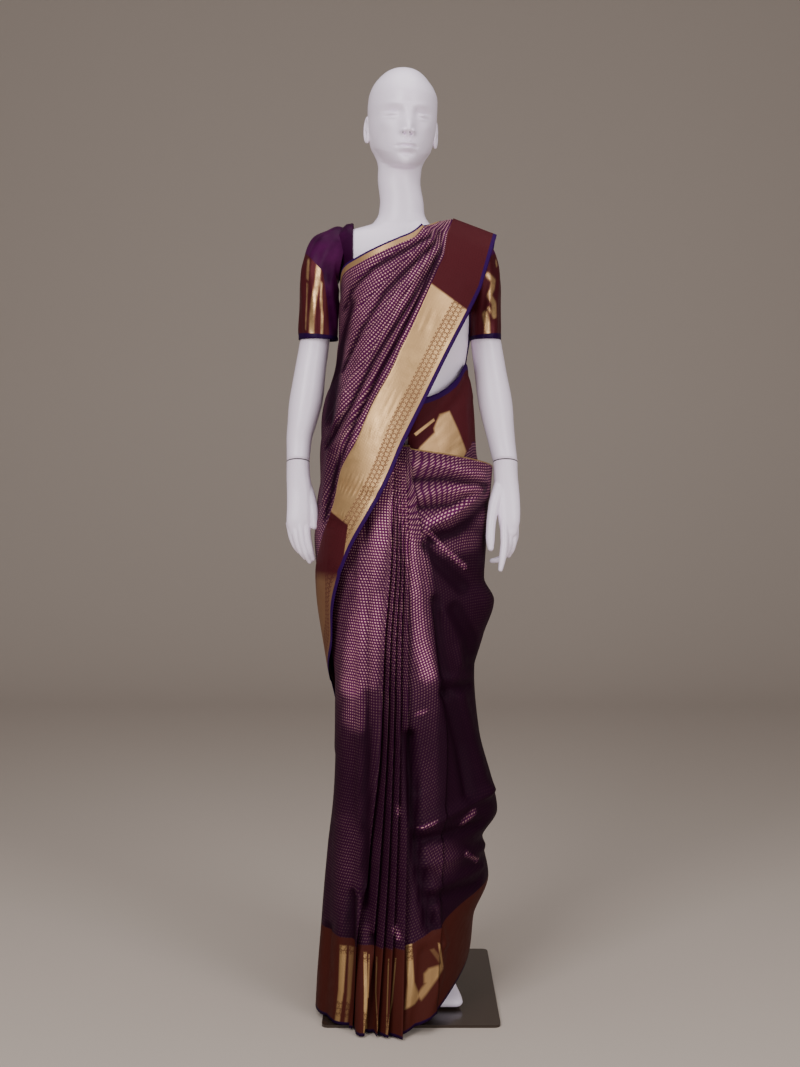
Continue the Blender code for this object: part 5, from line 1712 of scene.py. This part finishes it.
def sari_finish():
    material, nodes, links, shader = new_material("purple zari silk")

    def do(operation, first, second=None):
        return math_node(nodes, links, operation, first, second)

    places = nodes.new("ShaderNodeUVMap")
    places.uv_map = "threads"
    split = nodes.new("ShaderNodeSeparateXYZ")
    links.new(places.outputs["UV"], split.inputs["Vector"])
    along, up = split.outputs["X"], split.outputs["Y"]
    from_top, inner_end = mesh_layer(nodes, "from_top"), mesh_layer(nodes, "inner_end")
    gold_highlight, glint = mesh_layer(nodes, "gold_highlight"), mesh_layer(nodes, "glint")
    shoulder = mesh_layer(nodes, "on_shoulder")
    turns = {"shoulder": shoulder, "waist": inner_end}
    turns["skirt"] = do("SUBTRACT", do("SUBTRACT", 1.0, shoulder), inner_end)
    place = nodes.new("ShaderNodeSeparateXYZ")
    links.new(object_place(nodes), place.inputs["Vector"])
    out, high = place.outputs["X"], place.outputs["Z"]
    in_front = spread(nodes, links, place.outputs["Y"], -0.02, 0.02, 1.0, 0.0)
    # Painted highlight: inside these patches on the front, the border is painted gold.
    for patch in SHINING:
        inside = do(
            "MULTIPLY",
            patch_mask(nodes, links, out, high, patch),
            do("MULTIPLY", turns[patch.turn], in_front),
        )
        gold_highlight = do("MAXIMUM", gold_highlight, inside)
    under_edge = do("SUBTRACT", from_top, mesh_layer(nodes, "top_edge"))
    under_gold = do("SUBTRACT", from_top, mesh_layer(nodes, "top_gold"))

    crinkle = noise(nodes, links, places.outputs["UV"], 60.0, 3.0)
    cloudy = noise(nodes, links, places.outputs["UV"], 9.0, 3.0)
    # Painted light on the weave: its ground and dashes go from the shaded to the lit colours with the glint, in
    # cloudy patches, and the dashes sparkle at random.
    patchy = spread(nodes, links, cloudy, 0.38, 0.62, 0.75, 1.1)
    lit = do("MULTIPLY", glint, patchy)
    ground = blend_colours(nodes, links, lit, SILK_SHADE, SILK_LIT)
    sparkle = noise(nodes, links, places.outputs["UV"], 300.0, 1.0)
    dash = spots(nodes, links, along, up, DASH_PITCH, DASH_PITCH, 0.27, 0.24)
    dash_lit = do("MULTIPLY", do("POWER", lit, 1.4), spread(nodes, links, sparkle, 0.3, 0.7, 0.75, 1.7))
    dash_colour = blend_colours(nodes, links, dash_lit, DASH_SHADE, DASH_LIT)
    silk = blend_colours(nodes, links, dash, ground, dash_colour)

    flower = flowers(nodes, links, along, up, FLOWER_PITCH, FLOWER_RISE, 0.0042)
    seeds = spots(nodes, links, along, up, 0.0030, 0.0030, 0.30, 0.30)
    motif = do("MAXIMUM", flower, do("MULTIPLY", seeds, 0.7))
    in_lower = between(nodes, links, up, LINE_DEEP + 0.002, LOWER_MOTIF_TOP)
    in_upper = between(nodes, links, up, UPPER_MOTIF_LOW, BORDER_DEEP - 0.003)
    gap = do("MULTIPLY", do("MAXIMUM", in_lower, in_upper), do("SUBTRACT", 1.0, motif))
    # The painted gold highlight, dimmed in cloudy patches and between the motifs.
    cloudy_dimming = spread(nodes, links, cloudy, 0.35, 0.65, 0.78, 1.0)
    gold = do("MULTIPLY", do("MULTIPLY", gold_highlight, cloudy_dimming), do("SUBTRACT", 1.0, do("MULTIPLY", gap, 0.72)))
    border = between(nodes, links, up, -0.01, BORDER_DEEP)
    top_border = spread(nodes, links, under_gold, -0.0004, 0.0004, 1.0, 0.0)
    waist_border = do("MULTIPLY", between(nodes, links, from_top, -0.01, BORDER_DEEP), inner_end)
    gold_zone = do("MAXIMUM", do("MAXIMUM", border, top_border), waist_border)
    gold = do(
        "MAXIMUM", gold, do("MULTIPLY", do("MULTIPLY", top_border, do("SUBTRACT", 1.0, inner_end)), 0.72),
    )
    # On the skirt the maroon and gold are darker copies: painted shade low on the cloth.
    maroon = blend_colours(nodes, links, turns["skirt"], TISSUE_MAROON, SHADED_HEM_MAROON)
    zari = blend_colours(nodes, links, turns["skirt"], ZARI_GOLD, SHADED_HEM_GOLD)
    # The tissue shows gold where the painted gold highlight and the narrow top strip say, maroon elsewhere.
    tissue = blend_colours(nodes, links, gold, maroon, zari)
    woven = blend_colours(nodes, links, gold_zone, silk, tissue)
    top_edge = spread(nodes, links, under_edge, -0.0004, 0.0004, 1.0, 0.0)
    thin_up = do("MULTIPLY", up, do("ADD", 1.0, do("MULTIPLY", turns["skirt"], 0.5)))
    edge = do("MAXIMUM", between(nodes, links, thin_up, -0.02, EDGE_DEEP), top_edge)
    # On the skirt the violet edge is a darker copy: painted shade.
    edge_colour = blend_colours(nodes, links, turns["skirt"], EDGE_VIOLET, SHADED_HEM_EDGE)
    links.new(blend_colours(nodes, links, edge, woven, edge_colour), shader.inputs["Base Color"])

    metal = do(
        "MAXIMUM",
        do("MULTIPLY", do("MULTIPLY", dash, dash_lit), 0.5),
        do("MULTIPLY", gold_zone, do("MULTIPLY", gold, 0.85)),
    )
    links.new(do("MULTIPLY", metal, do("SUBTRACT", 1.0, edge)), shader.inputs["Metallic"])
    dull = do("MULTIPLY", do("SUBTRACT", 1.0, do("MULTIPLY", gold_zone, gold)), 0.16)
    links.new(
        do("ADD", spread(nodes, links, crinkle, 0.3, 0.7, 0.36, 0.48), dull), shader.inputs["Roughness"],
    )
    cloth_surface(nodes, links, shader, do("ADD", crinkle, do("MULTIPLY", dash, 0.2)), 0.3, 0.0010)
    return material


sari_mesh.materials.append(sari_finish())
cloth_thickness(sari_cloth, SARI_THICK)
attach(sari_cloth, "root")
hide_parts("sari")

# Studio: a pale floor that turns up into a wall, soft lights, and a camera at chest height facing the front.
FLOOR_COLOUR = (0.54, 0.455, 0.400, 1.0)
CAMERA_BACK, CAMERA_HIGH = 3.0, 1.0
PHOTO_HIGH = 1067
FOCAL_PIXELS = 1573.0
HORIZON_ROW = 467.0
SENSOR = 36.0


def studio_floor():
    depth, rise, wide, turn = 5.2, 5.0, 8.0, 1.6
    outline = [(-4.0, 0.0), (depth - turn, 0.0)]
    for k in range(1, 13):
        a = QUARTER * k / 12
        outline.append((depth - turn + turn * math.sin(a), turn - turn * math.cos(a)))
    outline.append((depth, rise))
    mesh = bpy.data.meshes.new("studio_floor")
    points = [(side * wide, y, z) for y, z in outline for side in (-1, 1)]
    faces = [(2 * k, 2 * k + 1, 2 * k + 3, 2 * k + 2) for k in range(len(outline) - 1)]
    mesh.from_pydata(points, [], faces)
    mesh.shade_smooth()
    material, nodes, links, shader = new_material("studio floor")
    shader.inputs["Base Color"].default_value = FLOOR_COLOUR
    shader.inputs["Roughness"].default_value = 0.6
    mesh.materials.append(material)
    item = bpy.data.objects.new("studio_floor", mesh)
    bpy.context.scene.collection.objects.link(item)


def area_light(name, place, target, size, power, colour=(1.0, 1.0, 1.0)):
    lamp = bpy.data.lights.new(name, "AREA")
    lamp.shape = "RECTANGLE"
    lamp.size, lamp.size_y = size
    lamp.energy = power
    lamp.color = colour
    item = bpy.data.objects.new(name, lamp)
    item.location = place
    item.rotation_euler = (Vector(target) - Vector(place)).to_track_quat("-Z", "Y").to_euler()
    bpy.context.scene.collection.objects.link(item)


studio_floor()
area_light("front left", (-1.6, -3.0, 2.4), (0.0, 0.0, 1.0), (1.6, 2.2), 85.0)
area_light("front right", (1.9, -2.4, 1.7), (0.0, 0.0, 1.0), (1.0, 2.2), 40.0)
area_light("above", (0.0, -0.4, 3.2), (0.0, 0.0, 1.0), (2.0, 1.6), 30.0)
area_light("low front", (0.4, -3.5, 0.5), (0.0, 0.0, 0.95), (2.4, 0.7), 16.0)
world = bpy.data.worlds.new("studio air")
world.use_nodes = True
world.node_tree.nodes["Background"].inputs["Color"].default_value = (0.62, 0.60, 0.58, 1.0)
world.node_tree.nodes["Background"].inputs["Strength"].default_value = 0.35
bpy.context.scene.world = world

camera = bpy.data.cameras.new("camera")
camera.sensor_fit = "VERTICAL"
camera.sensor_height = SENSOR
camera.lens = FOCAL_PIXELS / PHOTO_HIGH * SENSOR
camera.shift_y = -(PHOTO_HIGH / 2 - HORIZON_ROW) / PHOTO_HIGH
camera_item = bpy.data.objects.new("camera", camera)
camera_item.location = (0.0, -CAMERA_BACK, CAMERA_HIGH)
camera_item.rotation_euler = (QUARTER, 0.0, 0.0)
bpy.context.scene.collection.objects.link(camera_item)
bpy.context.scene.camera = camera_item
